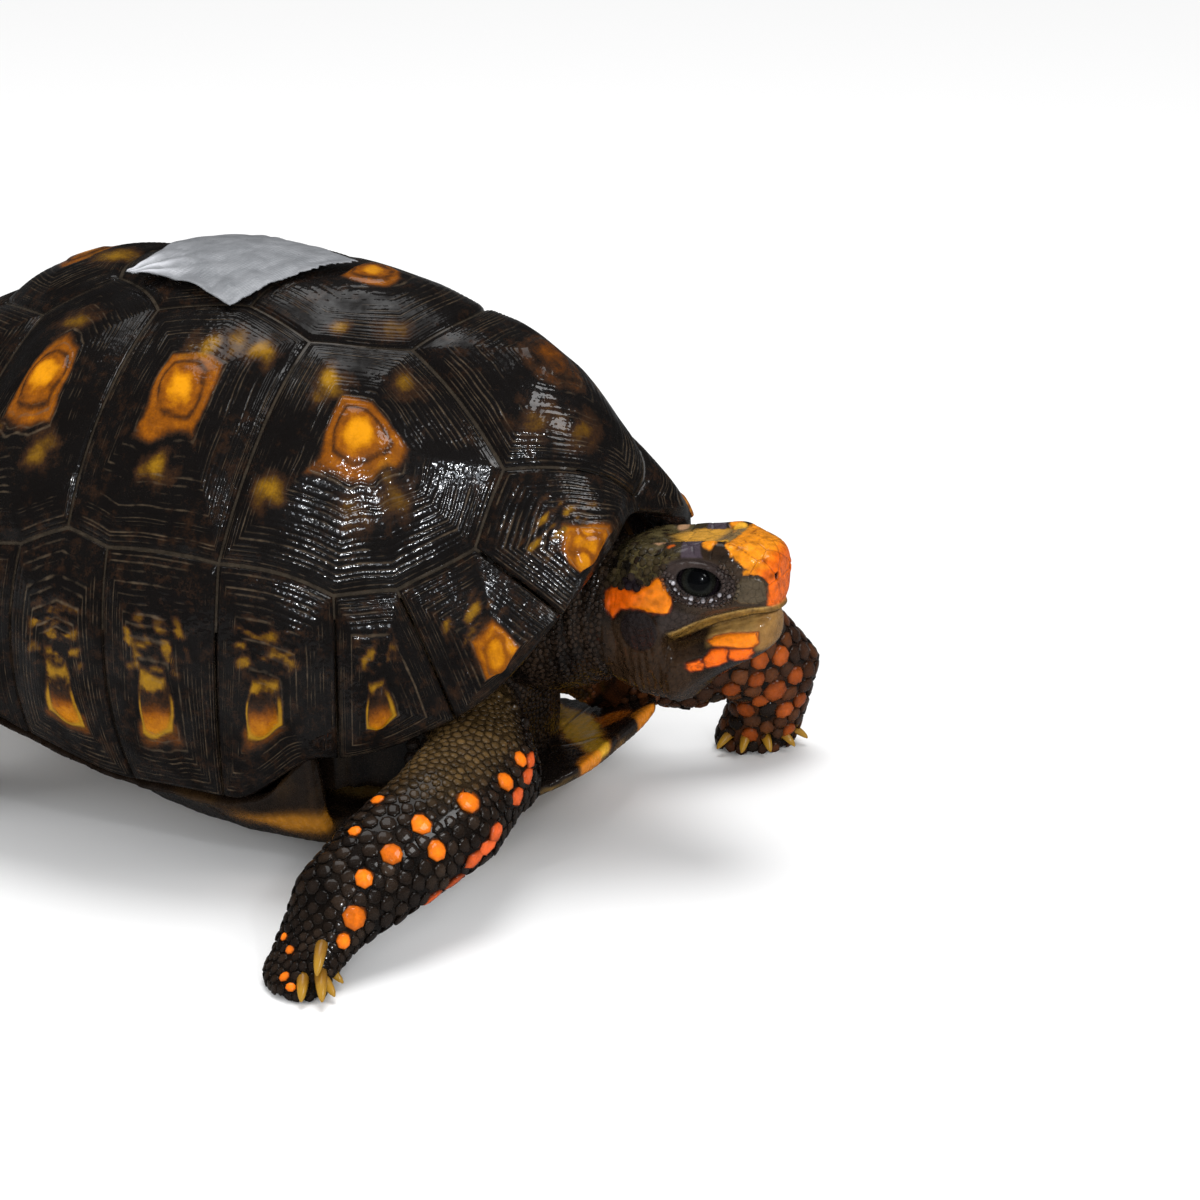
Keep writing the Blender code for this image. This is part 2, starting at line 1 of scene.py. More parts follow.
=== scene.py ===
# %% [markdown]
# # A red-footed tortoise in mid stride
#
# This notebook finishes a life-size display model of a red-footed tortoise. A plain solid model is loaded
# first. It fixes the size, the pose and the place of every part. Each step below then swaps some of its
# plain parts for a finished one: horny plates with growth rings, damp scaly skin, eyes, nails, and the
# square of silver cloth tape that this animal wears on its shell.

# %% Load the frame
import json
import math

import bpy
import numpy as np
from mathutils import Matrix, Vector
from mathutils.kdtree import KDTree

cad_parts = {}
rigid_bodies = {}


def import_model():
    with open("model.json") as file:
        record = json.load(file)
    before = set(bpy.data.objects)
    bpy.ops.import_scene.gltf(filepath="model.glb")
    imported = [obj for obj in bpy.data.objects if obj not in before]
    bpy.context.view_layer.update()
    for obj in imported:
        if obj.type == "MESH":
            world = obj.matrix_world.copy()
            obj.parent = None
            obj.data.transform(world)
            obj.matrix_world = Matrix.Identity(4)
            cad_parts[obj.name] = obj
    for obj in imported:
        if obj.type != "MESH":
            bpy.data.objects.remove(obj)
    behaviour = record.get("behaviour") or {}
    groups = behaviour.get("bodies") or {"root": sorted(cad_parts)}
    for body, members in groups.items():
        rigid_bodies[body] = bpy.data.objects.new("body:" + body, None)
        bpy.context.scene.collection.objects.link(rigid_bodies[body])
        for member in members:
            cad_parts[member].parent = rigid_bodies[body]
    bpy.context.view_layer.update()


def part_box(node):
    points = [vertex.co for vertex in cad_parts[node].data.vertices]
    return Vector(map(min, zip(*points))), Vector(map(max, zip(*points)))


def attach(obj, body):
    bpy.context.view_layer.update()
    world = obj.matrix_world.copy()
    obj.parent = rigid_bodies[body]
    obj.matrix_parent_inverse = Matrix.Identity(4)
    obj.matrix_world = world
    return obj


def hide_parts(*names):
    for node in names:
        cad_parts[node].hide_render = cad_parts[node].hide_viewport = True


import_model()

# %% [markdown]
# ## Where things are
#
# The solid model stands centred on its own footprint, so its middle line isn't at zero. Two known parts
# say where it is: the second plate of the back is symmetric, and the front tip of the belly lies 125 mm
# ahead of the shell's highest point. All later steps measure from that point: left, forwards, up.

# %% Find the shell's highest point
BELLY_TIP = 0.125
second_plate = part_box("vertebral_2")
MIDLINE = (second_plate[0][0] + second_plate[1][0]) / 2
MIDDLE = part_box("plastron_front")[0][1] + BELLY_TIP


def place(left, forwards, up):
    """A point measured from under the shell's highest point, in the frame's own axes."""
    return np.stack(np.broadcast_arrays(MIDLINE + left, MIDDLE - forwards, up), -1)


print("highest point is over", [round(MIDLINE, 4), round(MIDDLE, 4)])

# %% [markdown]
# ## Camera, floor and light
#
# A long lens from one side and a little above keeps the shell from bulging towards the viewer. The floor
# is a plain pale sweep. Wet horn shows its shape only by what it mirrors, so the studio is white for soft
# light but dark in reflections. Four panels give the highlights: one overhead for the back, one in front
# for the head, and a dim and a small bright one whose mirror images land on the shoulder, where the growth
# rings break them up. Two more panels only fill the shadows, and nothing mirrors them.

# %% Camera
VIEW_FROM, VIEW_UP, DISTANCE = -65.67266, 19.61943, 0.95114
LOOK_AT = Vector(place(0.01728, 0.10997, 0.06805))


def towards(turn, up):
    """The way from the tortoise to a bearing and a height, in degrees."""
    turn, up = math.radians(turn), math.radians(up)
    return Vector((math.sin(turn) * math.cos(up), -math.cos(turn) * math.cos(up), math.sin(up)))


away = towards(VIEW_FROM, VIEW_UP)
lens = bpy.data.cameras.new("lens")
lens.lens = 90
lens.sensor_width = 36
lens.clip_start = 0.01
camera = bpy.data.objects.new("camera", lens)
bpy.context.collection.objects.link(camera)
camera.location = LOOK_AT + away * DISTANCE
camera.rotation_euler = (-away).to_track_quat("-Z", "Y").to_euler()
bpy.context.scene.camera = camera
print("camera at", [round(v, 3) for v in camera.location])


# %% Node helpers
def start_material(name):
    """A new material and its Principled shader."""
    material = bpy.data.materials.new(name)
    material.use_nodes = True
    return material, material.node_tree.nodes["Principled BSDF"]


def add(material, kind, sockets=None, **settings):
    """Adds a shader node. A socket is given a value, or joined to another node's output."""
    node = material.node_tree.nodes.new("ShaderNode" + kind)
    for key, value in settings.items():
        setattr(node, key, value)
    for key, value in (sockets or {}).items():
        if isinstance(value, bpy.types.NodeSocket):
            material.node_tree.links.new(value, node.inputs[key])
        else:
            node.inputs[key].default_value = value
    return node


def join(material, output, shader, socket):
    material.node_tree.links.new(output, shader.inputs[socket])


def ramp(material, factor, stops):
    """A colour ramp from (place, colour) stops."""
    node = add(material, "ValToRGB", {"Fac": factor})
    band = node.color_ramp
    while len(band.elements) < len(stops):
        band.elements.new(0.5)
    for element, (at, colour) in zip(band.elements, stops):
        element.position = at
        element.color = (*colour, 1) if len(colour) == 3 else colour
    return node.outputs["Color"]


def sum_of(material, first, second, share=1.0):
    """first + second * share"""
    return add(material, "Math", {0: second, 1: share, 2: first}, operation="MULTIPLY_ADD").outputs[0]


def product_of(material, first, second):
    return add(material, "Math", {0: first, 1: second}, operation="MULTIPLY").outputs[0]


def remap(material, value, start, end, low=0.0, high=1.0):
    """A value with start to end spread over low to high."""
    return add(material, "MapRange", {"Value": value, 1: start, 2: end, 3: low, 4: high}).outputs[0]


def scaled(material, colour, factor):
    return add(material, "VectorMath", {0: colour, 3: factor}, operation="SCALE").outputs[0]


def bump(material, height, strength, distance, under=None):
    """A bump from a height, which may lie on the bump called under."""
    sockets = {"Height": height, "Strength": strength, "Distance": distance}
    if under is not None:
        sockets["Normal"] = under
    return add(material, "Bump", sockets).outputs[0]


def object_place(material):
    return add(material, "TexCoord").outputs["Object"]


def first_measure(material, name):
    """The first measure that the mesh stores under a name."""
    stored = add(material, "Attribute", attribute_name=name).outputs["Color"]
    return add(material, "SeparateColor", {0: stored}).outputs[0]


def settle(shader, values):
    """Gives some of a shader's sockets a fixed value."""
    for socket, value in values.items():
        shader.inputs[socket].default_value = value


def noise(material, where, scale, detail=3.0, rough=0.55):
    sockets = {"Vector": where, "Scale": scale, "Detail": detail, "Roughness": rough}
    return add(material, "TexNoise", sockets).outputs["Fac"]


def blend_colours(material, factor, first, second, mode="MIX"):
    node = add(material, "Mix", {0: factor}, data_type="RGBA", blend_type=mode)
    for key, value in ((6, first), (7, second)):
        if isinstance(value, bpy.types.NodeSocket):
            material.node_tree.links.new(value, node.inputs[key])
        else:
            node.inputs[key].default_value = (*value, 1)
    return node.outputs[2]


# %% Floor and lights
def deselect():
    if bpy.context.object and bpy.context.object.mode != "OBJECT":
        bpy.ops.object.mode_set(mode="OBJECT")
    bpy.ops.object.select_all(action="DESELECT")


def select_only(piece):
    deselect()
    bpy.context.view_layer.objects.active = piece
    piece.select_set(True)


def panel(name, bearing, width, height, distance, power, tint=(1, 1, 1)):
    """A soft rectangular light that faces the tortoise from a bearing and a height in degrees."""
    way = towards(*bearing)
    light = bpy.data.lights.new(name, "AREA")
    light.shape = "RECTANGLE"
    light.size, light.size_y = width, height
    light.energy = power
    light.color = tint
    lamp = bpy.data.objects.new(name, light)
    bpy.context.collection.objects.link(lamp)
    lamp.location = Vector(place(0, 0.05, 0.08)) + way * distance
    lamp.rotation_euler = way.to_track_quat("Z", "Y").to_euler()


deselect()
bpy.ops.mesh.primitive_plane_add(size=14, location=(0, 0, 0))
floor = bpy.context.object
floor.name = "floor"
paper, shader = start_material("pale_paper")
ray = add(paper, "LightPath").outputs["Is Glossy Ray"]
join(paper, remap(paper, ray, 0, 1, 0.93, 0.10), shader, "Base Color")
settle(shader, {"Roughness": 0.6, "Specular IOR Level": 0.0})
floor.data.materials.append(paper)

panel("overhead", (120, 76), 0.8, 0.8, 1.5, 3)
panel("shoulder", (-42, 30), 0.16, 0.18, 1.2, 0.75, (0.86, 0.92, 1.0))
panel("sparkle", (-41, 31), 0.035, 0.045, 1.2, 0.8)
panel("front", (5, 45), 0.5, 0.35, 1.4, 2.5)
panel("low_fill", (-64, 16), 0.30, 0.30, 1.1, 3.2)
panel("rear_fill", (-150, 25), 0.8, 0.5, 1.3, 4.0)
for name in ("low_fill", "rear_fill"):
    bpy.data.objects[name].visible_glossy = False
# A wide soft light from above gives the floor its white and the body its shadow.
soft = bpy.data.objects.new("soft_sky", bpy.data.lights.new("soft_sky", "SUN"))
bpy.context.collection.objects.link(soft)
soft.data.energy = 1.2
soft.data.angle = math.radians(30)
soft.rotation_euler = Vector((0.19, 0.03, 1.0)).to_track_quat("Z", "Y").to_euler()
soft.visible_glossy = False

# The world is white to the camera, dimmer where it lights surfaces, and dark where wet horn mirrors it.
world = bpy.data.worlds.new("studio")
bpy.context.scene.world = world
world.use_nodes = True
SEEN, LIGHTING, MIRRORED = 1.05, 0.58, 0.035
backdrop = world.node_tree.nodes["Background"]
path = add(world, "LightPath").outputs
unseen = remap(world, path["Is Glossy Ray"], 0, 1, LIGHTING, MIRRORED)
join(world, remap(world, path["Is Camera Ray"], 0, 1, unseen, SEEN), backdrop, "Strength")
settle(backdrop, {"Color": (1, 1, 1, 1)})
bpy.context.scene.view_settings.view_transform = "Standard"

# %% [markdown]
# ## The form of the shell
#
# A carapace is a smooth dome under its plates. One formula gives it here: an oval rim, a crown, and
# between them a curve whose steepness changes with the bearing. A point on it is named by two shares of
# the way from the crown to the rim, one to the left and one forwards. That makes it easy to draw plates
# in plan and lay them on the dome, which no primitive could do.

# %% Smooth steps, bells and ripples
def smooth(share):
    """An even share from 0 to 1, made to start and end gently."""
    return share * share * (3 - 2 * share)


def step_up(value, start, end):
    """0 before start, 1 after end, and smooth between. It steps down if end is before start."""
    return smooth(np.clip((value - start) / (end - start), 0, 1))


def bell(value, width):
    return np.exp(-((value / width) ** 2))


def unit(ways):
    return ways / np.linalg.norm(ways, axis=-1, keepdims=True)


def ripple(points, size, seed, waves=7):
    """A smooth random field from -1 to 1 over points, with bumps about size across."""
    dice = np.random.default_rng(seed)
    ways = dice.normal(size=(waves, np.shape(points)[-1]))
    lengths = np.linalg.norm(ways, axis=1, keepdims=True)
    ways *= (math.tau / size) * dice.uniform(0.6, 1.4, (waves, 1)) / lengths
    phase = dice.uniform(0, math.tau, waves)
    return np.sin(points @ ways.T + phase).sum(axis=-1) / (0.55 * waves)


# %% The dome
LENGTH, HALF_WIDTH, FRONT, TOP = 0.300, 0.0975, 0.1402, 0.1730
CROWN = 0.625
RIM = {"front": 0.1051, "side": 0.0433, "rear": 0.0535}
HANDLE = {"front": 0.647, "side": 0.543, "rear": 0.544}
FLARE = {"front": 34.5, "side": -21.9, "rear": 12.5}
FRONT_POWER, REAR_POWER = 1.86, 2.25
BRIDGE_REACH, NECK_NOTCH, SHOULDER_DIP = 0.080, 0.0108, 0.0069
DROOP = np.array([0, -0.006, -0.003])
PLATE = 0.0050


def bearing_of(angle):
    """Degrees away from straight ahead."""
    return np.degrees(np.abs((angle - math.pi / 2 + math.pi) % (2 * math.pi) - math.pi))


def rim_radius(angle):
    ahead = np.sin(angle) > 0
    power = np.where(ahead, FRONT_POWER, REAR_POWER)
    reach = np.where(ahead, FRONT, LENGTH - FRONT)
    side = np.abs(np.cos(angle)) / HALF_WIDTH
    return 1 / (side**power + (np.abs(np.sin(angle)) / reach) ** power) ** (1 / power)


def rim_stretch(angle):
    """How far down the plates reach, as a share of the profile: past 1 along the bridge."""
    bearing = bearing_of(angle)
    rise = np.clip((bearing - 52) / 16, 0, 1) * np.clip((118 - bearing) / 30, 0, 1)
    return 1 + BRIDGE_REACH * smooth(rise)


def dome(left, ahead):
    share = np.hypot(left, ahead)
    angle = np.arctan2(ahead, left)
    fore, aft = np.maximum(np.sin(angle), 0), np.maximum(-np.sin(angle), 0)
    bearing = bearing_of(angle)
    notch = NECK_NOTCH * bell(bearing, 9) * np.minimum(share, 1) ** 6
    radius = rim_radius(angle) - notch
    lift = np.clip((fore - 0.612) / 0.388, 0, 1) ** 2.47
    rim = RIM["side"] + (RIM["front"] - RIM["side"]) * lift + (RIM["rear"] - RIM["side"]) * aft**3
    rim = rim - SHOULDER_DIP * bell(bearing - 27, 10)
    flare, handle = (table["side"] + (table["front"] - table["side"]) * fore**2
                     + (table["rear"] - table["side"]) * aft**2 for table in (FLARE, HANDLE))
    pull = (TOP - rim) * handle
    rest = 1 - share
    near, far = 3 * share * rest**2, 3 * share * share * rest
    out = near * CROWN * radius + far * (radius - pull * np.sin(np.radians(flare))) + share**3 * radius
    up = (rest**3 + near) * TOP + far * (rim + pull * np.cos(np.radians(flare))) + share**3 * rim
    return place(out * np.cos(angle), out * np.sin(angle), up)


def on_shell(left, ahead, out=0.0):
    """A point of the dome, moved out along its normal. The front rim droops on the left."""
    left, ahead, out = np.broadcast_arrays(*(np.asarray(v, float) for v in (left, ahead, out)))
    step = 2e-3
    across = dome(left + step, ahead) - dome(left - step, ahead)
    along = dome(left, ahead + step) - dome(left, ahead - step)
    normal = unit(np.cross(along, across))
    share = np.clip((ahead - 0.70) / 0.20, 0, 1) * np.clip((left + 0.05) / 0.17, 0, 1)
    return dome(left, ahead) + normal * out[..., None] + smooth(share)[..., None] * DROOP


print("crown is at", np.round(on_shell(0, 0.001), 4))

# %% [markdown]
# ## The plates in plan
#
# A tortoise's carapace has five plates down its back, four pairs of rib plates, eleven pairs along the
# rim and one over the tail. The seams meet three at a time, so the layout needs only those meeting
# points. Each plate is then a list of letters, and neighbours always share their seam.

# %% Seam corners and plates
CORNERS = {
    "a": (0.0, 0.947), "b": (0.137, 0.369), "c": (0.184, 0.090), "d": (0.100, -0.157),
    "e": (0.085, -0.345), "f": (0.085, -0.690), "g": (0.219, 0.226), "h": (0.221, -0.067),
    "i": (0.185, -0.258), "j": (0.190, -0.665), "k": (0.219, 0.671), "l": (0.337, 0.714),
    "m": (0.486, 0.619), "n": (0.575, 0.505), "o": (0.643, 0.259), "p": (0.666, 0.017),
    "q": (0.641, -0.082), "r": (0.661, -0.200), "s": (0.640, -0.330), "t": (0.595, -0.420),
    "u": (0.535, -0.500), "v": (0.410, -0.600), "w": (0.290, -0.655),
}
# For each plate: its corners, and the middle of its oldest part, the areola, from which it grew.
BACK_PLATES = {"vertebral_1": ("akb", (0, 0.545)), "vertebral_2": ("bgc", (0, 0.175)),
               "vertebral_3": ("chd", (0, -0.02)), "vertebral_4": ("die", (0, -0.24)),
               "vertebral_5": ("ejf", (0, -0.50))}
RIB_PLATES = {"costal_1": ("bklmnog", (0.340, 0.405)), "costal_2": ("gopqhc", (0.395, 0.078)),
              "costal_3": ("hqrstid", (0.377, -0.195)), "costal_4": ("ituvwje", (0.33, -0.47))}
# Rim plates: the corners along the upper seam, and the bearings between which each meets the rim.
RIM_PLATES = [("akl", 0, 18.2), ("lm", 18.2, 32.8), ("mn", 32.8, 49.7), ("no", 49.7, 69.4),
              ("op", 69.4, 88), ("pqr", 88, 108), ("rs", 108, 126), ("stu", 126, 141),
              ("uv", 141, 153.5), ("vw", 153.5, 164.5), ("wjf", 164.5, 173)]
SEAM = 0.0022


def divided(start, end, longest=0.009):
    """Points from start up to, but not with, end."""
    steps = max(2, round(math.dist(start, end) / longest))
    return [tuple(np.array(start) + (np.array(end) - start) * i / steps) for i in range(steps)]


def rim_point(bearing):
    angle = math.pi / 2 - math.radians(bearing)
    reach = float(rim_stretch(angle))
    return (math.cos(angle) * reach, math.sin(angle) * reach)


def drawn_in(path, distance):
    """A closed outline moved inwards by a small distance."""
    after = np.roll(path, -1, axis=0) - path
    turn = np.sum(path[:, 0] * np.roll(path[:, 1], -1) - path[:, 1] * np.roll(path[:, 0], -1))
    normal = unit(np.stack([-after[:, 1], after[:, 0]], 1) * np.sign(turn))
    before = np.roll(normal, 1, axis=0)
    lean = 1 + np.sum(normal * before, axis=1, keepdims=True)
    return path + (normal + before) / lean * distance


def upper_outline(name):
    """A back or rib plate's outline in plan, for the middle or the left side."""
    keys, _ = (BACK_PLATES | RIB_PLATES)[name]
    corners = [CORNERS[key] for key in keys]
    if name in BACK_PLATES:
        corners += [(-left, ahead) for left, ahead in reversed(corners) if left > 0]
    path = []
    for here, there in zip(corners, corners[1:] + corners[:1]):
        path += divided(here, there)
    return drawn_in(np.array(path), SEAM)


def rim_outline(keys, first, last):
    """A rim plate's outline in plan, on the left, and which of its points lie on the rim."""
    path = []
    for here, there in zip(keys, keys[1:]):
        path += divided(CORNERS[here], CORNERS[there])
    path += divided(CORNERS[keys[-1]], rim_point(last))
    steps = max(6, round(abs(last - first) / 0.6))
    edge = [rim_point(last + (first - last) * i / steps) for i in range(steps + 1)]
    start = len(path)
    path += edge[:-1] + divided(edge[-1], CORNERS[keys[0]])
    on_rim = np.zeros(len(path), bool)
    on_rim[start:start + steps + 1] = True
    path = np.array(path)
    inner = drawn_in(path, SEAM)
    reach = np.linalg.norm(path[on_rim], axis=1, keepdims=True) * 0.998
    inner[on_rim] *= reach / np.linalg.norm(inner[on_rim], axis=1, keepdims=True)
    return inner, on_rim

# %% [markdown]
# ## Horn that grew in rings
#
# Each plate began as a small pale disc, the areola. Every season added a strip of new horn all round it,
# so the plate is a stack of outlines of the same shape, wide where the animal grew fast. To model that,
# a grid is bent into a net: its columns run round the plate and its rows run outwards from the areola.
# Rows are then set close together at each strip's edge, where a groove is pressed in. The last rows turn
# down over the edge and back underneath, which closes the plate.

# %% Nets
def net(name, columns, rows):
    """A grid with its columns and rows numbered from 0, ready to be bent into a piece."""
    deselect()
    bpy.ops.mesh.primitive_grid_add(x_subdivisions=columns, y_subdivisions=rows, size=2)
    piece = bpy.context.object
    piece.name = name
    flat = np.empty(len(piece.data.vertices) * 3, np.float32)
    piece.data.vertices.foreach_get("co", flat)
    flat = flat.reshape(-1, 3)
    column = np.rint((flat[:, 0] + 1) / 2 * columns).astype(int)
    row = np.rint((flat[:, 1] + 1) / 2 * rows).astype(int)
    return piece, column, row


def bend(piece, points):
    piece.data.vertices.foreach_set("co", np.asarray(points, np.float32).ravel())
    piece.data.update()


def paint(piece, name, colours):
    """Stores a colour, or up to four measures, on every point of a mesh."""
    layer = piece.data.color_attributes.new(name, "FLOAT_COLOR", "POINT")
    values = np.ones((len(colours), 4), np.float32)
    values[:, :np.shape(colours)[1]] = colours
    layer.data.foreach_set("color", values.ravel())


def close_up(piece, merge=2e-6):
    """Merges what meets, turns all faces outwards and shades them smooth."""
    select_only(piece)
    bpy.ops.object.mode_set(mode="EDIT")
    bpy.ops.mesh.select_all(action="SELECT")
    bpy.ops.mesh.remove_doubles(threshold=merge)
    bpy.ops.mesh.dissolve_degenerate(threshold=merge / 2)
    bpy.ops.mesh.select_all(action="SELECT")
    bpy.ops.mesh.normals_make_consistent(inside=False)
    bpy.ops.object.mode_set(mode="OBJECT")
    bpy.ops.object.shade_smooth()
    return piece


# %% Growth strips
OLDEST, GROOVE = 0.24, 0.17
RING_DEPTH, ROUND_EDGE = 0.00016, 0.0004
KNOB, PIT, EDGE_STEP = 0.0007, 0.0003, 0.0005


def growth(seed, strips):
    """Shares of the way out at which strips end, and how deep the groove after each is."""
    dice = np.random.default_rng(seed)
    widths = dice.uniform(0.55, 1.5, strips) * np.linspace(1.25, 0.6, strips)
    ends = OLDEST + (1 - OLDEST) * np.cumsum(widths) / widths.sum()
    return np.concatenate([[OLDEST], ends]), dice.uniform(0.35, 1.0, strips + 1)


def profile(shares, seed, strips, depth):
    """Height of the horn along the way out, and how near each place is to a strip's edge."""
    ends, depths = growth(seed, strips)
    index = np.clip(np.searchsorted(ends, shares, side="right") - 1, 0, strips - 1)
    start, end = ends[index], ends[index + 1]
    across = np.clip((shares - start) / (end - start), 0, 1)
    before, after = depths[index], depths[index + 1]
    groove = before * bell(across, GROOVE) + after * bell(1 - across, GROOVE)
    crest = 0.45 * np.sin(np.pi * across) ** 0.7
    old = shares < OLDEST
    height = np.where(old, 0.25, crest - groove) * depth
    return height, np.where(old, 0, np.clip(groove, 0, 1))


def row_shares(seed, strips):
    ends, _ = growth(seed, strips)
    shares = list(np.linspace(0, OLDEST * 0.92, 8))
    for start, end in zip(ends[:-1], ends[1:]):
        shares += [start + (end - start) * part for part in (0, 0.14, 0.38, 0.64, 0.87)]
    return np.array(shares + [1.0])


# %% One plate
def quarter_round(reach, radius):
    """How far a rounded edge has dropped, reach away from its end."""
    lip = np.clip(1 - reach / radius, 0, 1)
    return 1 - np.sqrt(1 - lip * lip)


def horn_plate(name, outline, areola, seed, stain, strips, bulge, thick=0.0018, on_rim=None, side=1):
    """A closed plate laid on the dome. stain gives how amber the horn is at each point."""
    shares = row_shares(seed, strips)
    under = [(1.0, 0.3), (1.0, 0.7), (0.985, 0.95), (0.9, 1.0), (0.5, 1.0), (0.0, 1.0)]
    count, top = len(outline), len(shares)
    piece, column, row = net(name, count, top + len(under) - 1)
    column = column % count
    edge = outline[column]
    share = np.concatenate([shares, [s for s, _ in under]])[row]
    down = np.concatenate([np.zeros(top), [d for _, d in under]])[row]
    centre = np.array(areola)
    reach = np.linalg.norm(outline - centre, axis=1)[column]
    wander = ripple(edge * 7, 1.0, seed + 1) * 0.010
    wander += ripple(np.stack([edge[:, 0], share], 1) * 3, 0.5, seed) * 0.009
    grown = np.clip(share + wander * np.sin(np.pi * share) ** 0.5, 0, 1)
    rounded = 0.80 * step_up(share, 0.42, 0.10)
    plan = centre + (edge - centre) * share[:, None]
    round_to = centre + (edge - centre) / reach[:, None] * np.mean(reach) * share[:, None] * 0.85
    plan = plan + (round_to - plan) * rounded[:, None]
    relief, groove = profile(grown, seed, strips, RING_DEPTH)
    strength = 0.70 + 0.55 * ripple(plan * 3, 0.5, seed + 3) + 0.40 * ripple(plan, 0.040, seed + 7)
    strength = strength.clip(0.12)
    from_edge = (1 - share) * reach * 0.1
    drop = ROUND_EDGE * 1.2 * quarter_round(from_edge, ROUND_EDGE)
    if on_rim is not None:
        round_rim = thick * 0.48
        drop = np.where(on_rim[column], round_rim * quarter_round(from_edge, round_rim), drop)
    knob = KNOB * step_up(share, OLDEST * 1.15, OLDEST * 0.75) - PIT * step_up(share, OLDEST * 0.6, 0)
    hill = bulge * (1 - share**1.7) - EDGE_STEP * step_up(share, 0.93, 1.0)
    uneven = 0.0004 * ripple(plan, 0.16, seed + 5) * np.sin(np.pi * np.clip(share, 0, 1))
    surface = hill + knob + relief * strength + uneven - drop
    out = np.where(row < top, surface, np.where(down < 1, surface * (1 - down) - thick * down, -thick))
    bend(piece, on_shell(plan[:, 0] * side, plan[:, 1], out))
    amber, smear = stain(share, plan)
    yellow = smear / np.maximum(amber, smear).clip(1e-6)
    amber = np.maximum(amber, smear)
    paint(piece, "horn", np.stack([share, amber, groove * strength.clip(0, 1), yellow.clip(0, 1)], 1))
    return close_up(piece)


# %% [markdown]
# ## Black horn with amber in it
#
# The horn of this species is almost black, with an amber areola and broken amber smears where older
# strips kept some of it. Every point of a plate carries four measures: how far out it grew, how amber it
# is, how near it is to a groove, and how yellow its amber is. The material turns those into colour, so
# that the pattern stays on the plate, and adds fine streaks. A clear coat stands for the film of water.

# %% Wet horn material
CORE_TONES = ((0.34, (0.100, 0.030, 0.004)), (0.55, (0.25, 0.072, 0.003)), (0.76, (0.47, 0.165, 0.002)),
              (1.0, (0.72, 0.28, 0.004)))
SMEAR_TONES = ((0.42, (0.095, 0.044, 0.005)), (0.62, (0.24, 0.118, 0.006)), (0.95, (0.42, 0.22, 0.010)))
# The first colour is laid along the grooves: partly wear, partly a painted sheen. The second is dust in the
# seams.
WORN_AND_SHEEN, SEAM_DUST = (0.112, 0.080, 0.050), (0.090, 0.070, 0.050)


def wet_horn(name, dark, brown, drops=1.0):
    material, shader = start_material(name)
    where = object_place(material)
    measured_horn = add(material, "Attribute", attribute_name="horn")
    measures = add(material, "SeparateColor", {0: measured_horn.outputs["Color"]})
    grown, amber, groove = (measures.outputs[i] for i in range(3))
    cloud = noise(material, where, 260, 5, 0.62)
    fine = noise(material, where, 1500, 4, 0.6)
    stained = sum_of(material, sum_of(material, amber, cloud, 0.55), fine, 0.25)
    stained = add(material, "Math", {0: stained, 1: 0.40}, operation="SUBTRACT").outputs[0]
    core = ramp(material, stained, [(0.0, dark), (0.16, brown), *CORE_TONES])
    smear = ramp(material, stained, [(0.06, dark), (0.24, brown), *SMEAR_TONES])
    colour = blend_colours(material, measured_horn.outputs["Alpha"], core, smear)
    # Near the grooves the horn is painted paler and greyer: partly wear, partly a painted sheen for the
    # highlights along the growth rings.
    worn_and_sheen = product_of(material, groove, noise(material, where, 420, 3))
    colour = blend_colours(material, remap(material, worn_and_sheen, 0.15, 0.55, 0.0, 0.70), colour, WORN_AND_SHEEN)
    edge = remap(material, grown, 0.991, 0.999, 0.0, 0.34)
    seam = product_of(material, edge, noise(material, where, 300, 3))
    join(material, blend_colours(material, seam, colour, SEAM_DUST), shader, "Base Color")
    rough = remap(material, noise(material, where, 700, 4), 0.3, 0.7, 0.22, 0.42)
    join(material, rough, shader, "Roughness")
    wet = remap(material, noise(material, where, 75, 3, 0.6), 0.40, 0.58, 0.15, 1.0)
    join(material, wet, shader, "Coat Weight")
    settle(shader, {"Coat Roughness": 0.03, "Specular IOR Level": 0.08})
    join(material, bump(material, fine, 0.25, 0.0002), shader, "Normal")
    water = noise(material, where, 560, 1.0, 0.5)
    join(material, bump(material, water, 0.30 * drops, 0.0006), shader, "Coat Normal")
    return material


black_horn = wet_horn("wet_black_horn", (0.0055, 0.0045, 0.0042), (0.030, 0.014, 0.007))

# %% [markdown]
# ## The thirteen upper plates
#
# The smears of amber sit at chosen places of the right side, and the left side gets the same plates
# mirrored, with other rings and other smears, as two sides of one animal are alike but never the same.

# %% Smears of amber on the upper plates
# Place in plan, radius, strength.
SMEARS = {
    "costal_1": [((0.285, 0.305), 0.030, 0.75), ((0.205, 0.415), 0.030, 0.42), ((0.506, 0.303), 0.028, 0.62),
                 ((0.380, 0.520), 0.045, 0.36), ((0.455, 0.470), 0.040, 0.30)],
    "costal_2": [((0.533, 0.087), 0.026, 0.66), ((0.307, 0.080), 0.030, 0.60), ((0.290, 0.172), 0.026, 0.66),
                 ((0.284, 0.129), 0.035, 0.46)],
    "costal_3": [((0.515, -0.168), 0.030, 0.58), ((0.253, -0.186), 0.030, 0.50), ((0.47, -0.29), 0.03, 0.40)],
    "costal_4": [((0.47, -0.47), 0.035, 0.55), ((0.24, -0.50), 0.030, 0.45)],
    "vertebral_1": [((-0.120, 0.655), 0.045, 0.36), ((-0.071, 0.734), 0.050, 0.34),
                    ((0.10, 0.66), 0.04, 0.4)],
    "vertebral_2": [((-0.161, 0.247), 0.018, 0.50), ((-0.120, 0.319), 0.030, 0.36),
                    ((0.15, 0.24), 0.03, 0.45)],
    "vertebral_4": [((-0.02, -0.185), 0.030, 0.60), ((0.05, -0.28), 0.03, 0.45)],
    "vertebral_5": [((0.03, -0.40), 0.025, 0.50), ((-0.05, -0.60), 0.030, 0.50)],
}
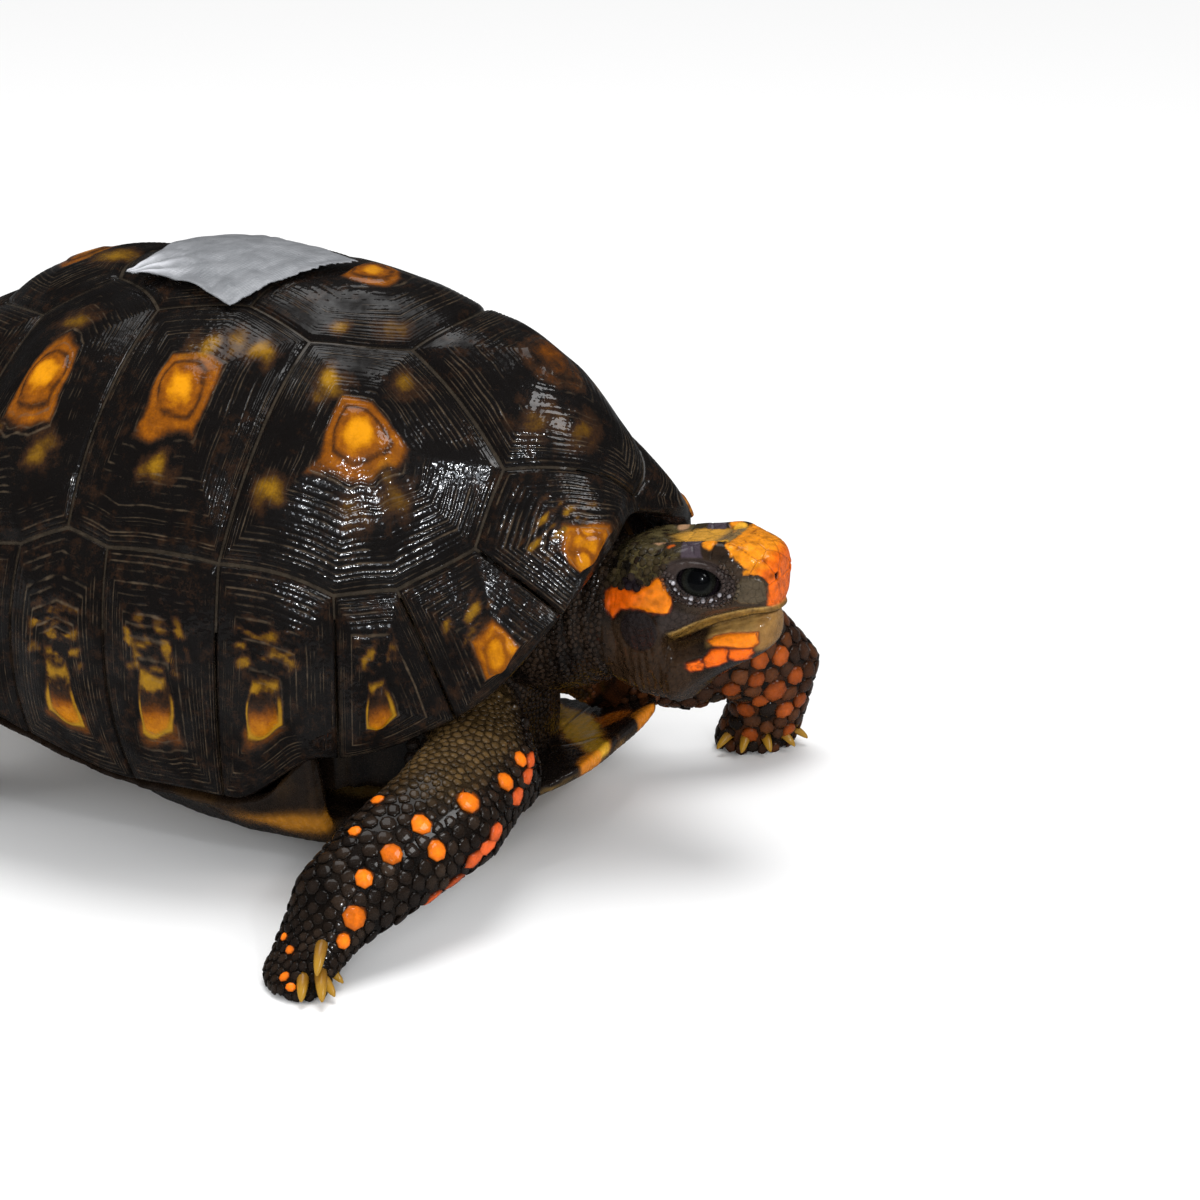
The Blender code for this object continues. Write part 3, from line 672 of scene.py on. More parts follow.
# How far each areola reaches, as a share of the way out, and how strong its amber is.
AREOLA = {"vertebral_1": (0.34, 0.34), "vertebral_2": (0.25, 0.98), "vertebral_3": (0.28, 0.85),
          "vertebral_4": (0.34, 0.95), "vertebral_5": (0.32, 0.85), "costal_1": (0.35, 1.0),
          "costal_2": (0.35, 0.98), "costal_3": (0.36, 0.95), "costal_4": (0.32, 0.9)}


def upper_stain(name, side, seed):
    reach, strength = AREOLA[name]

    def stain(share, plan):
        ragged = share + 0.035 * ripple(plan, 0.10, seed)
        bright = step_up(ragged + 0.02 * ripple(plan, 0.03, seed + 9), reach * 0.72, reach * 0.18)
        band = 0.54 * step_up(ragged, reach * 1.08, reach * 0.84)
        lines = 0.30 * bell(ragged - reach * 0.66, 0.018)
        core = strength * (np.maximum(bright, band) - lines).clip(0, 1)
        spots = np.zeros(len(share))
        for (left, ahead), radius, depth in SMEARS.get(name, ()):
            if side > 0 and name.startswith("costal"):
                left, ahead = left + 0.02, ahead - 0.015
            away = np.hypot(plan[:, 0] - left, plan[:, 1] - ahead) / radius
            away = away + 0.35 * ripple(plan, 0.05, seed + 2)
            spots = np.maximum(spots, depth * bell(away, 1))
        return core, spots

    return stain


# %% Make the upper plates
BULGES = {"vertebral_1": 0.0030, "vertebral_2": 0.0015, "vertebral_3": 0.0020, "vertebral_4": 0.0035,
          "vertebral_5": 0.0030}
triangles = 0


def finish_plate(piece, nodes, material):
    """Gives a piece its material and ties it to the plain parts that it stands for."""
    piece.data.materials.clear()
    piece.data.materials.append(material)
    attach(piece, "root")
    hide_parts(*nodes)
    return sum(len(face.vertices) - 2 for face in piece.data.polygons)


for number, (name, (_, areola)) in enumerate((BACK_PLATES | RIB_PLATES).items()):
    rib = name in RIB_PLATES
    for side, word in ((1, "_left"), (-1, "_right")) if rib else ((1, ""),):
        seed = 100 * number + 10 * side + 50
        node = name + word
        piece = horn_plate("horn_" + node, upper_outline(name), areola, seed, upper_stain(name, side, seed),
                           strips=18 if rib else 15, bulge=BULGES.get(name, 0.004), side=side)
        triangles += finish_plate(piece, [node], black_horn)
print("upper plates:", triangles, "triangles")

# %% [markdown]
# ## The plates along the rim
#
# Rim plates grow the same way, but their areola lies low, near the edge, so their strips crowd together
# at the rim and spread out above it. The plates over the bridge are taller and lie flat against the body.
# Their areola is dark above and amber below, in a yellow frame. Every plate is thick enough to show a
# rounded edge.

# %% Make the rim plates
# Where each areola lies: the share of the way along the rim, and the share of the way out to it.
RIM_AREOLAS = [(0.72, 0.955), (0.53, 0.965), (0.62, 0.945), (0.60, 0.925), (0.52, 0.92), (0.42, 0.925),
               (0.45, 0.93), (0.5, 0.93), (0.5, 0.93), (0.5, 0.93), (0.5, 0.92)]


def rim_stain(number, seed, areola):
    framed = number in (3, 4, 5, 6, 7)
    out = np.array(areola) / np.linalg.norm(areola)
    around = np.array([-out[1], out[0]])

    def stain(share, plan):
        low = (plan - np.array(areola)) @ out / 0.05
        ragged = share + 0.035 * ripple(plan, 0.09, seed)
        inside = step_up(ragged, 0.33, 0.26)
        if framed:
            frame_line = bell(ragged - 0.27, 0.034)
            core = inside * (0.12 + 0.56 * step_up(low, -0.40, 0.34))
            core = np.maximum(core, 0.34 * step_up(low, 0.2, 0.5) * step_up(ragged, 0.46, 0.30))
        else:
            core = inside * (0.50 + 0.26 * step_up(np.abs(ripple(plan, 0.06, seed + 1)), 0.1, 0.6))
            core = np.maximum(core, 0.62 * bell(ragged - 0.28, 0.05))
        upward = step_up(-low, 0.8, 1.6) * step_up(-low, 4.2, 2.6)
        spread = np.stack([plan @ around, plan @ out * 2.0], 1)
        patchy = ripple(spread, 0.056, seed + 4) + 0.4 * ripple(spread, 0.022, seed + 6)
        smear = 0.56 * upward * step_up(patchy, -0.5, 1.0) * step_up(share, 0.76, 0.5)
        if framed:
            smear = np.maximum(smear, 0.66 * inside * step_up(low + 0.2 * patchy, -0.45, -0.9))
            smear = np.maximum(smear, 0.80 * frame_line * step_up(low, -0.9, -0.1))
        return core, smear

    return stain


RIM_GROWTH = {"strips": 12, "bulge": 0.0022, "thick": PLATE * 0.92}


def rim_plate(number, keys, first, last, side, word):
    """Rim plate number 1 to 11 of one side."""
    outline, on_rim = rim_outline(keys, first, last)
    seed = 2000 + 20 * number + side
    along, share = RIM_AREOLAS[number - 1]
    edge = np.array(rim_point(first + (last - first) * along))
    areola = tuple(edge / np.linalg.norm(edge) * share)
    stain = rim_stain(number, seed, areola)
    piece = horn_plate(f"horn_marginal_{number}_{word}", outline, areola, seed, stain, on_rim=on_rim,
                       side=side, **RIM_GROWTH)
    run = "front" if number <= 3 else "bridge" if number <= 7 else "rear"
    return finish_plate(piece, [f"marginals_{run}_{word}"], black_horn)


triangles = 0
for side, word in ((1, "left"), (-1, "right")):
    for number, (keys, first, last) in enumerate(RIM_PLATES, 1):
        triangles += rim_plate(number, keys, first, last, side, word)
print("rim plates:", triangles, "triangles")

# %% The plate over the tail
TAIL_TURN, TAIL_AREOLA = 173, (0, -0.93)
corner = CORNERS["f"]
opposite = (-corner[0], corner[1])
turns = np.radians(np.linspace(TAIL_TURN, 360 - TAIL_TURN, 22))
tail_edge = [tuple(point) for point in np.stack([np.sin(turns), np.cos(turns)], 1)]
tail_path = divided(opposite, corner) + divided(corner, rim_point(TAIL_TURN))
tail_path = np.array(tail_path + tail_edge[:-1] + divided(tail_edge[-1], opposite))
tail_rim = np.linalg.norm(tail_path, axis=1) > 0.995
tail_outline = drawn_in(tail_path, SEAM)
tail_outline[tail_rim] = tail_path[tail_rim] * 0.998
piece = horn_plate("horn_supracaudal", tail_outline, TAIL_AREOLA, 2500, rim_stain(11, 2500, TAIL_AREOLA),
                   on_rim=tail_rim, **RIM_GROWTH)
print("tail plate:", finish_plate(piece, ["supracaudal"], black_horn), "triangles")

# %% [markdown]
# ## Bone under the horn
#
# Between two plates there is a thin seam, and young horn, browner than the rest, shows at its bottom. A
# single shell lies just under the plates and carries it. It also closes the carapace from the inside.

# %% Bone lining
BONE_TOP, BONE_UNDER, BONE_REACH, YOUNG_AMBER = -0.0009, -0.0046, 0.80, 0.12


def bone_lining():
    columns, rows = 180, 44
    piece, column, row = net("bone_lining", columns, 2 * rows + 1)
    turn = column % columns / columns * math.tau
    upper = row <= rows
    share = np.where(upper, row, 2 * rows + 1 - row) / rows * BONE_REACH
    out = np.where(upper, BONE_TOP, BONE_UNDER)
    bend(piece, on_shell(share * np.cos(turn) + 1e-9, share * np.sin(turn) + 1e-9, out))
    paint(piece, "horn", np.tile((1, YOUNG_AMBER, 0), (len(share), 1)))
    return close_up(piece)


young_horn = wet_horn("young_seam_horn", (0.014, 0.011, 0.008), (0.050, 0.038, 0.026), drops=0.5)
piece = bone_lining()
piece.data.materials.append(young_horn)
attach(piece, "root")

# %% [markdown]
# ## One skin for all the flesh
#
# Head, neck, legs and tail are separate solids in the plain model, but a living skin has no joins. Copies
# of them are joined and remeshed with small voxels, which melts them into one closed surface, and
# smoothing rounds off their facets. A second copy of the lower jaw, set a little higher, closes the gap
# of the mouth. The hidden middle is then thinned out, and the head gets a finer mesh.

# %% Melt the flesh together
JAW_LIFT = 0.0013
FLESH = ["trunk", "neck", "head", "lower_jaw", "tail", "leg_fore_left", "leg_fore_right", "leg_hind_left",
         "leg_hind_right"]
VOXEL = 0.0011


def merged_copy(names, title, shut=()):
    """One object that holds copies of several parts, and some of them again a little higher."""
    deselect()
    for name, lift in [(name, 0) for name in names] + [(name, JAW_LIFT) for name in shut]:
        twin = bpy.data.objects.new("copy_" + name, bpy.data.objects[name].data.copy())
        bpy.context.collection.objects.link(twin)
        twin.location.z = lift
        twin.select_set(True)
        bpy.context.view_layer.objects.active = twin
    bpy.ops.object.transform_apply(location=True, rotation=False, scale=False)
    bpy.ops.object.join()
    piece = bpy.context.object
    piece.name = title
    piece.data.materials.clear()
    return piece


def apply(piece, kind, **settings):
    """Adds a modifier with these settings and applies it."""
    select_only(piece)
    modifier = piece.modifiers.new(kind.lower(), kind)
    for key, value in settings.items():
        setattr(modifier, key, value)
    bpy.ops.object.modifier_apply(modifier=modifier.name)


def read(piece, what, width=3):
    """One measure of every point of a mesh, as an array."""
    flat = np.empty(len(piece.data.vertices) * width, np.float32)
    piece.data.vertices.foreach_get(what, flat)
    return flat.reshape(-1, width).astype(float)


def measured(points):
    """World points as left, forwards, up from under the shell's highest point."""
    return np.stack([points[:, 0] - MIDLINE, MIDDLE - points[:, 1], points[:, 2]], 1)


skin = merged_copy(FLESH + ["eye_left", "eye_right"], "skin", shut=["lower_jaw"])
apply(skin, "REMESH", mode="VOXEL", voxel_size=VOXEL, adaptivity=0.0)
apply(skin, "SMOOTH", factor=0.5, iterations=18)

# %% Thin out what the shell hides, and refine the head
spot = measured(read(skin, "co"))
deep = (np.abs(spot[:, 1]) < 0.062) | ((np.abs(spot[:, 1]) < 0.085) & (spot[:, 2] > 0.075))
bend(skin, read(skin, "co") - read(skin, "normal") * 0.0012 * deep[:, None])
group = skin.vertex_groups.new(name="hidden")
group.add([int(i) for i in np.nonzero(deep)[0]], 1.0, "REPLACE")
apply(skin, "DECIMATE", ratio=1 - 0.85 * float(deep.mean()), vertex_group="hidden", vertex_group_factor=1.0)
skin.vertex_groups.clear()

# The left eye: its centre, its radius, and the way it looks.
EYE, BALL = np.array([0.0117, 0.1555, 0.0899]), 0.0070
LOOK, EYE_TILT = unit(np.array([0.895, 0.365, 0.255])), 0.23
LEVEL = -unit(np.cross(LOOK, (0, 0, 1)))
ALONG = LEVEL * math.cos(EYE_TILT) + np.cross(LEVEL, LOOK) * math.sin(EYE_TILT)
ACROSS = np.cross(LOOK, ALONG)
ACROSS *= np.sign(ACROSS[2])


def refine(piece, near, smooth):
    """Divides the faces whose points all lie in a region, and rounds them off again."""
    chosen = near(measured(read(piece, "co")))
    select_only(piece)
    bpy.ops.object.mode_set(mode="EDIT")
    bpy.ops.mesh.select_all(action="DESELECT")
    bpy.ops.mesh.select_mode(type="VERT")
    bpy.ops.object.mode_set(mode="OBJECT")
    piece.data.vertices.foreach_set("select", chosen)
    bpy.ops.object.mode_set(mode="EDIT")
    bpy.ops.mesh.select_mode(type="FACE")
    bpy.ops.mesh.subdivide(number_cuts=1, quadcorner="INNERVERT")
    bpy.ops.mesh.vertices_smooth(factor=0.5, repeat=smooth)
    bpy.ops.object.mode_set(mode="OBJECT")


def mirrored(spot):
    """Points of both sides, as if all of them were on the left."""
    return np.concatenate([np.abs(spot[:, :1]), spot[:, 1:]], 1)


refine(skin, lambda spot: spot[:, 1] > 0.112, 3)
refine(skin, lambda spot: (np.linalg.norm(mirrored(spot) - EYE, axis=1) < 0.0135) | (spot[:, 1] > 0.172), 2)
print("skin:", len(skin.data.polygons), "faces; eye axes", ALONG.round(2), ACROSS.round(2))

# %% [markdown]
# ## The head
#
# A tortoise's head has no teeth but a horny beak, an eye set in thick wrinkled lids, and an eardrum in a
# round plate behind the jaw. Each is pressed into the skin here as a small shape with a name: the lids
# are laid over a ball, the mouth is a groove with a lip above it, and scales are cells whose borders sink.

# %% Shapes on the head
def mouth_height(ahead):
    """Height of the mouth line, which rises from the jaw's corner to the beak's tip."""
    return np.interp(ahead, (0.1455, 0.1500, 0.155, 0.160, 0.165, 0.171, 0.176, 0.180),
                     (0.0694, 0.0710, 0.0738, 0.0760, 0.0779, 0.0799, 0.0808, 0.0814))


def outline_reach(across, up, outline):
    """Distance to an outline, below 0 inside it."""
    here, outline = np.stack([across, up], 1), np.array(outline)
    nearest, hits = np.full(len(here), np.inf), np.zeros(len(here), int)
    for start, end in zip(outline, np.roll(outline, -1, axis=0)):
        way = end - start
        share = np.clip((here - start) @ way / (way @ way), 0, 1)
        nearest = np.minimum(nearest, np.linalg.norm(here - start - share[:, None] * way, axis=1))
        crosses = (start[1] > up) != (end[1] > up)
        hits += crosses & (across < start[0] + (up - start[1]) * way[0] / (way[1] if way[1] else 1))
    return np.where(hits % 2, -nearest, nearest)


# Patches on the side of the head, as forwards and up.
CHEEK = ((0.1271, 0.0842), (0.1299, 0.0861), (0.1342, 0.0863), (0.1385, 0.0865), (0.1408, 0.0882),
         (0.1429, 0.0896), (0.1448, 0.0916), (0.1472, 0.0920), (0.1482, 0.0903), (0.1494, 0.0868),
         (0.1497, 0.0834), (0.1487, 0.0814), (0.1466, 0.0811), (0.1432, 0.0811), (0.1401, 0.0816),
         (0.1365, 0.0813), (0.1327, 0.0801), (0.1313, 0.0785), (0.1302, 0.0767), (0.1290, 0.0782),
         (0.1272, 0.0811))
SNOUT = ((0.1637, 0.1024), (0.1661, 0.1004), (0.1683, 0.0983), (0.1701, 0.0968), (0.1716, 0.0963),
         (0.1702, 0.0955), (0.1703, 0.0943), (0.1719, 0.0946), (0.1740, 0.0943), (0.1759, 0.0933),
         (0.1768, 0.0912), (0.1767, 0.0888), (0.1773, 0.0859), (0.1785, 0.0842), (0.1900, 0.0842),
         (0.1900, 0.1100), (0.1637, 0.1100))
CHIN = (((0.1593, 0.0719), (0.1612, 0.0732), (0.1655, 0.0746), (0.1703, 0.0751), (0.1736, 0.0754),
         (0.1738, 0.0722), (0.1724, 0.0708), (0.1693, 0.0707), (0.1649, 0.0711), (0.1612, 0.0710)),
        ((0.1588, 0.0666), (0.1611, 0.0697), (0.1648, 0.0704), (0.1655, 0.0698), (0.1652, 0.0662),
         (0.1628, 0.0648), (0.1597, 0.0641)),
        ((0.1664, 0.0699), (0.1693, 0.0703), (0.1721, 0.0701), (0.1723, 0.0689), (0.1709, 0.0663),
         (0.1677, 0.0664), (0.1663, 0.0672)),
        ((0.1541, 0.0650), (0.1579, 0.0665), (0.1590, 0.0650), (0.1583, 0.0632), (0.1551, 0.0626),
         (0.1539, 0.0635)))
LIP_PLATE = ((0.1702, 0.0935), (0.1733, 0.0937), (0.1758, 0.0925), (0.1766, 0.0900), (0.1766, 0.0861),
             (0.1735, 0.0846), (0.1690, 0.0848), (0.1672, 0.0870), (0.1680, 0.0910))
UNDER_EYE = ((0.1492, 0.0832), (0.1530, 0.0815), (0.1572, 0.0800), (0.1545, 0.0775), (0.1490, 0.0745),
             (0.1463, 0.0728), (0.1458, 0.0800))


EARDRUM, NOSTRIL = (0.1392, 0.0742), (0.0052, 0.0932)


def eye_space(spot):
    """Place beside an eye: along and across its opening, out of it, and the distance in openings."""
    local = mirrored(spot) - EYE
    along, across, out = local @ ALONG, local @ ACROSS, local @ LOOK
    middle = across - 0.0006
    return along, across, out, np.hypot(along / 0.0064, middle / np.where(middle > 0, 0.0037, 0.0042))


# Folds of the lower and upper lid: height, place in openings, width.
LID_FOLDS = (("low", -0.0007, 1.43, 0.07), ("high", -0.0006, 1.62, 0.09), ("low", 0.0006, 1.22, 0.13),
             ("low", 0.0006, 1.62, 0.13), ("low", -0.0004, 1.86, 0.09), ("high", 0.0005, 1.25, 0.2))


def lids(spot):
    """How far each point moves along the way the eye looks."""
    along, across, out, openings = eye_space(spot)
    off = np.hypot(along, across)
    lid = np.sqrt(np.maximum((BALL + 0.0010) ** 2 - off**2, 0)) - 0.0030 * step_up(off, 0.0055, 0.0085)
    turn = np.arctan2(across, along)
    low, high = step_up(-np.sin(turn), -0.15, 0.35), step_up(np.sin(turn), 0.10, 0.50)
    creases = ripple(np.stack([turn * 0.006, openings * 0.001], 1), 0.0030, 61)
    wanted = np.maximum(lid, out) + 0.00018 * creases * bell(openings - 1.5, 0.4)
    for part, height, at, width in LID_FOLDS:
        wanted += (low if part == "low" else high) * height * bell(openings - at, width)
    ball = np.sqrt(np.maximum(BALL**2 - off**2, 0))
    inside = step_up(openings, 1.06, 0.95)
    wanted = wanted * (1 - inside) + (ball - 0.0022) * inside
    near = step_up(openings, 2.3, 1.9) * (out > -0.003)
    return (wanted - out) * near


def tree_of(points):
    tree = KDTree(len(points))
    for number, here in enumerate(points):
        tree.insert(here, number)
    tree.balance()
    return tree


def cells(spot, size, seed):
    """For each point: how far it is from the border between scales, 0 to 1, and its scale's number."""
    dice = np.random.default_rng(seed)
    taken, grid = [], {}
    for index in dice.permutation(len(spot)):
        here = spot[index]
        key = tuple((here / size).astype(int))
        close = [other for i in (-1, 0, 1) for j in (-1, 0, 1) for k in (-1, 0, 1)
                 for other in grid.get((key[0] + i, key[1] + j, key[2] + k), ())]
        if not close or ((here - np.array(close)) ** 2).sum(1).min() > (0.86 * size) ** 2:
            grid.setdefault(key, []).append(here)
            taken.append(here)
    tree = tree_of(taken)
    border, owner = np.empty(len(spot)), np.empty(len(spot), int)
    for index, here in enumerate(spot):
        (_, number, first), (_, _, second) = tree.find_n(here, 2)
        border[index] = (second - first) / size
        owner[index] = number
    return np.clip(border * 1.6, 0, 1), owner


# %% Press them into the skin
CHIN_LIFT, CROWN_DIP, NECK_SAG, LEFT_SAG = 0.0024, 0.0012, 0.0034, 0.0018
spot, normal = measured(read(skin, "co")), read(skin, "normal")
left, ahead, up = np.abs(spot[:, 0]), spot[:, 1], spot[:, 2]
onto_head = step_up(ahead, 0.126, 0.133)
gap = up - mouth_height(ahead)
in_mouth = step_up(ahead, 0.1475, 0.1515)
rise = -0.0011 * bell(gap, 0.00042) * in_mouth
rise += (0.0006 * bell(gap - 0.0012, 0.0009) - 0.0004 * bell(gap + 0.0011, 0.0009)) * in_mouth
lip_top = 0.0034 - 0.0010 * step_up(ahead, 0.152, 0.176)
rise -= 0.0003 * bell(gap - lip_top, 0.0005) * in_mouth
rise -= 0.0008 * bell(left, 0.006) * step_up(up, 0.098, 0.101) * bell(ahead - 0.157, 0.008)
drum = np.hypot(ahead - EARDRUM[0], up - EARDRUM[1])
rise -= (0.00035 * bell(drum - 0.0066, 0.0006) + 0.0003 * step_up(drum, 0.0066, 0.0050)) * (left > 0.010)
rise += 0.0007 * bell(np.hypot(ahead - 0.1515, (up - 0.0765) * 1.2), 0.0045)
rise += 0.0016 * bell(left - 0.0112, 0.0030) * bell(ahead - 0.1615, 0.0060) * step_up(up, 0.098, 0.101)
nostril = np.hypot(left - NOSTRIL[0], (up - NOSTRIL[1]) * 1.1)
rise -= (0.0022 * bell(nostril, 0.0009) - 0.0003 * bell(nostril - 0.0018, 0.0007)) * (ahead > 0.172)
side_on = step_up(left, 0.006, 0.009)
plates = np.minimum.reduce([outline_reach(ahead, up, shape) for shape in CHIN + (CHEEK, LIP_PLATE)])
rise += (0.00030 * step_up(plates, 0.0003, -0.0009) - 0.0004 * bell(plates - 0.0002, 0.00035)) * side_on
shield = outline_reach(ahead, up, SNOUT)
rise -= 0.00040 * bell(shield - 0.0001, 0.00035) * onto_head * (left < 0.02)
on_neck = step_up(ahead, 0.135, 0.126) * step_up(ahead, 0.080, 0.100) * (left < 0.035)
lengthways = spot * np.array([0.2, 1, 0.2])
rise += (0.00055 * ripple(lengthways, 0.0046, 71, 9) + 0.00030 * ripple(lengthways, 0.0019, 73, 9)) * on_neck
throat = step_up(ahead, 0.157, 0.146) * step_up(ahead, 0.120, 0.130) * step_up(up, 0.080, 0.064)
rise += 0.00038 * ripple(lengthways, 0.0017, 72, 8) * throat
scaly = np.nonzero((ahead > 0.124) & (left < 0.03))[0]
border, owner = np.ones(len(spot)), np.zeros(len(spot), int)
border[scaly], owner[scaly] = cells(spot[scaly], 0.0019, 81)
crown_part = np.nonzero((ahead > 0.136) & ((up > 0.0985) & (left < 0.016) | (shield < 0)) & (left < 0.03))[0]
crown_border, crown_owner = cells(spot[crown_part], 0.0066, 83)
border[crown_part] = np.minimum(1, crown_border * 2.4)
owner[crown_part] = 5000 + crown_owner
_, _, _, openings = eye_space(spot)
bare = step_up(ahead, 0.152, 0.160) * step_up(up, 0.0915, 0.088) + in_mouth * bell(gap, 0.0045)
bare = np.maximum(bare, step_up(plates, 0.0004, -0.0004) * side_on) + 0.7 * throat
depth = 0.00022 * (1 - bare.clip(0, 1)) * step_up(openings, 1.75, 2.1) * onto_head * (left < 0.03)
rise -= depth * (1 - step_up(border, 0.05, 0.42))
rise = np.where(on_neck + onto_head * (left < 0.035) > 0.5, rise, -0.0005)
moved = spot + normal * np.array([1, -1, 1]) * rise[:, None]
push = lids(moved)
moved += push[:, None] * LOOK * np.stack([np.sign(spot[:, 0]), np.ones(len(spot)), np.ones(len(spot))], 1)
chin = step_up(moved[:, 1], 0.148, 0.156) * step_up(moved[:, 2], 0.070, 0.058) * (np.abs(moved[:, 0]) < 0.03)
moved[:, 2] += CHIN_LIFT * chin
crown = step_up(ahead, 0.132, 0.142) * step_up(ahead, 0.163, 0.157) * step_up(left, 0.0098, 0.0070)
moved[:, 2] -= CROWN_DIP * crown * step_up(up, 0.094, 0.098)
sag = step_up(ahead, 0.092, 0.102) * step_up(ahead + 0.4 * left, 0.166, 0.146) * step_up(left, 0.062, 0.050)
sag *= step_up(normal[:, 2], 0.0, -0.6) * step_up(up, 0.019, 0.025)
moved[:, 2] -= (NECK_SAG + LEFT_SAG * step_up(spot[:, 0], -0.01, 0.01)) * sag
moved[:, 2] = np.maximum(moved[:, 2], 0.0004)
bend(skin, place(moved[:, 0], moved[:, 1], moved[:, 2]))
print("shaped the head; largest push at a lid", round(float(np.abs(push).max()) * 1000, 1), "mm")

# %% [markdown]
# ## Colours of the skin
#
# The pattern is worked out from the place of each point: orange bars and spots on the head, pale horn on
# the beak, dull brown between. Skin and scales both ask the same function, so a spot never slips.

# %% Colours by place
DARK, BROWN, OLIVE = (0.0085, 0.0058, 0.0045), (0.030, 0.018, 0.011), (0.095, 0.074, 0.030)
ORANGE, AMBER, GOLD = (0.88, 0.145, 0.005), (0.90, 0.29, 0.010), (0.34, 0.185, 0.038)
HORN, LID, RUST = (0.37, 0.215, 0.065), (0.038, 0.027, 0.024), (0.20, 0.028, 0.007)
FIERY, SNOUT_TOP, SNOUT_TIP = (0.88, 0.130, 0.004), (0.92, 0.30, 0.010), (0.90, 0.150, 0.005)
CROWN_GOLD, BROW_SHADE = (0.80, 0.39, 0.045), (0.062, 0.046, 0.058)
# Spots by the brow: forwards, left, up, radius, colour.
BROW_SPOTS = ((0.1421, 0.0090, 0.0990, 0.0020, (0.42, 0.24, 0.13)), (0.1469, 0.0118, 0.0992, 0.0012, ORANGE),
              (0.1590, 0.0106, 0.1010, 0.0027, AMBER), (0.1606, 0.0120, 0.0990, 0.0017, ORANGE),
              (0.1612, 0.0078, 0.1020, 0.0021, (0.86, 0.42, 0.03)))
BROW = ((0.1489, 0.1030), (0.1555, 0.1030), (0.1580, 0.0988), (0.1517, 0.0983))


def lay(colours, *layers):
    """Lays colours over others in turn, each as much as its share says."""
    for share, colour in layers:
        colours = colours + (np.array(colour) - colours) * np.clip(share, 0, 1)[:, None]
    return colours


def between(share, first, second):
    """For each point, a colour between two."""
    return np.array(first) * (1 - share)[:, None] + np.array(second) * share[:, None]


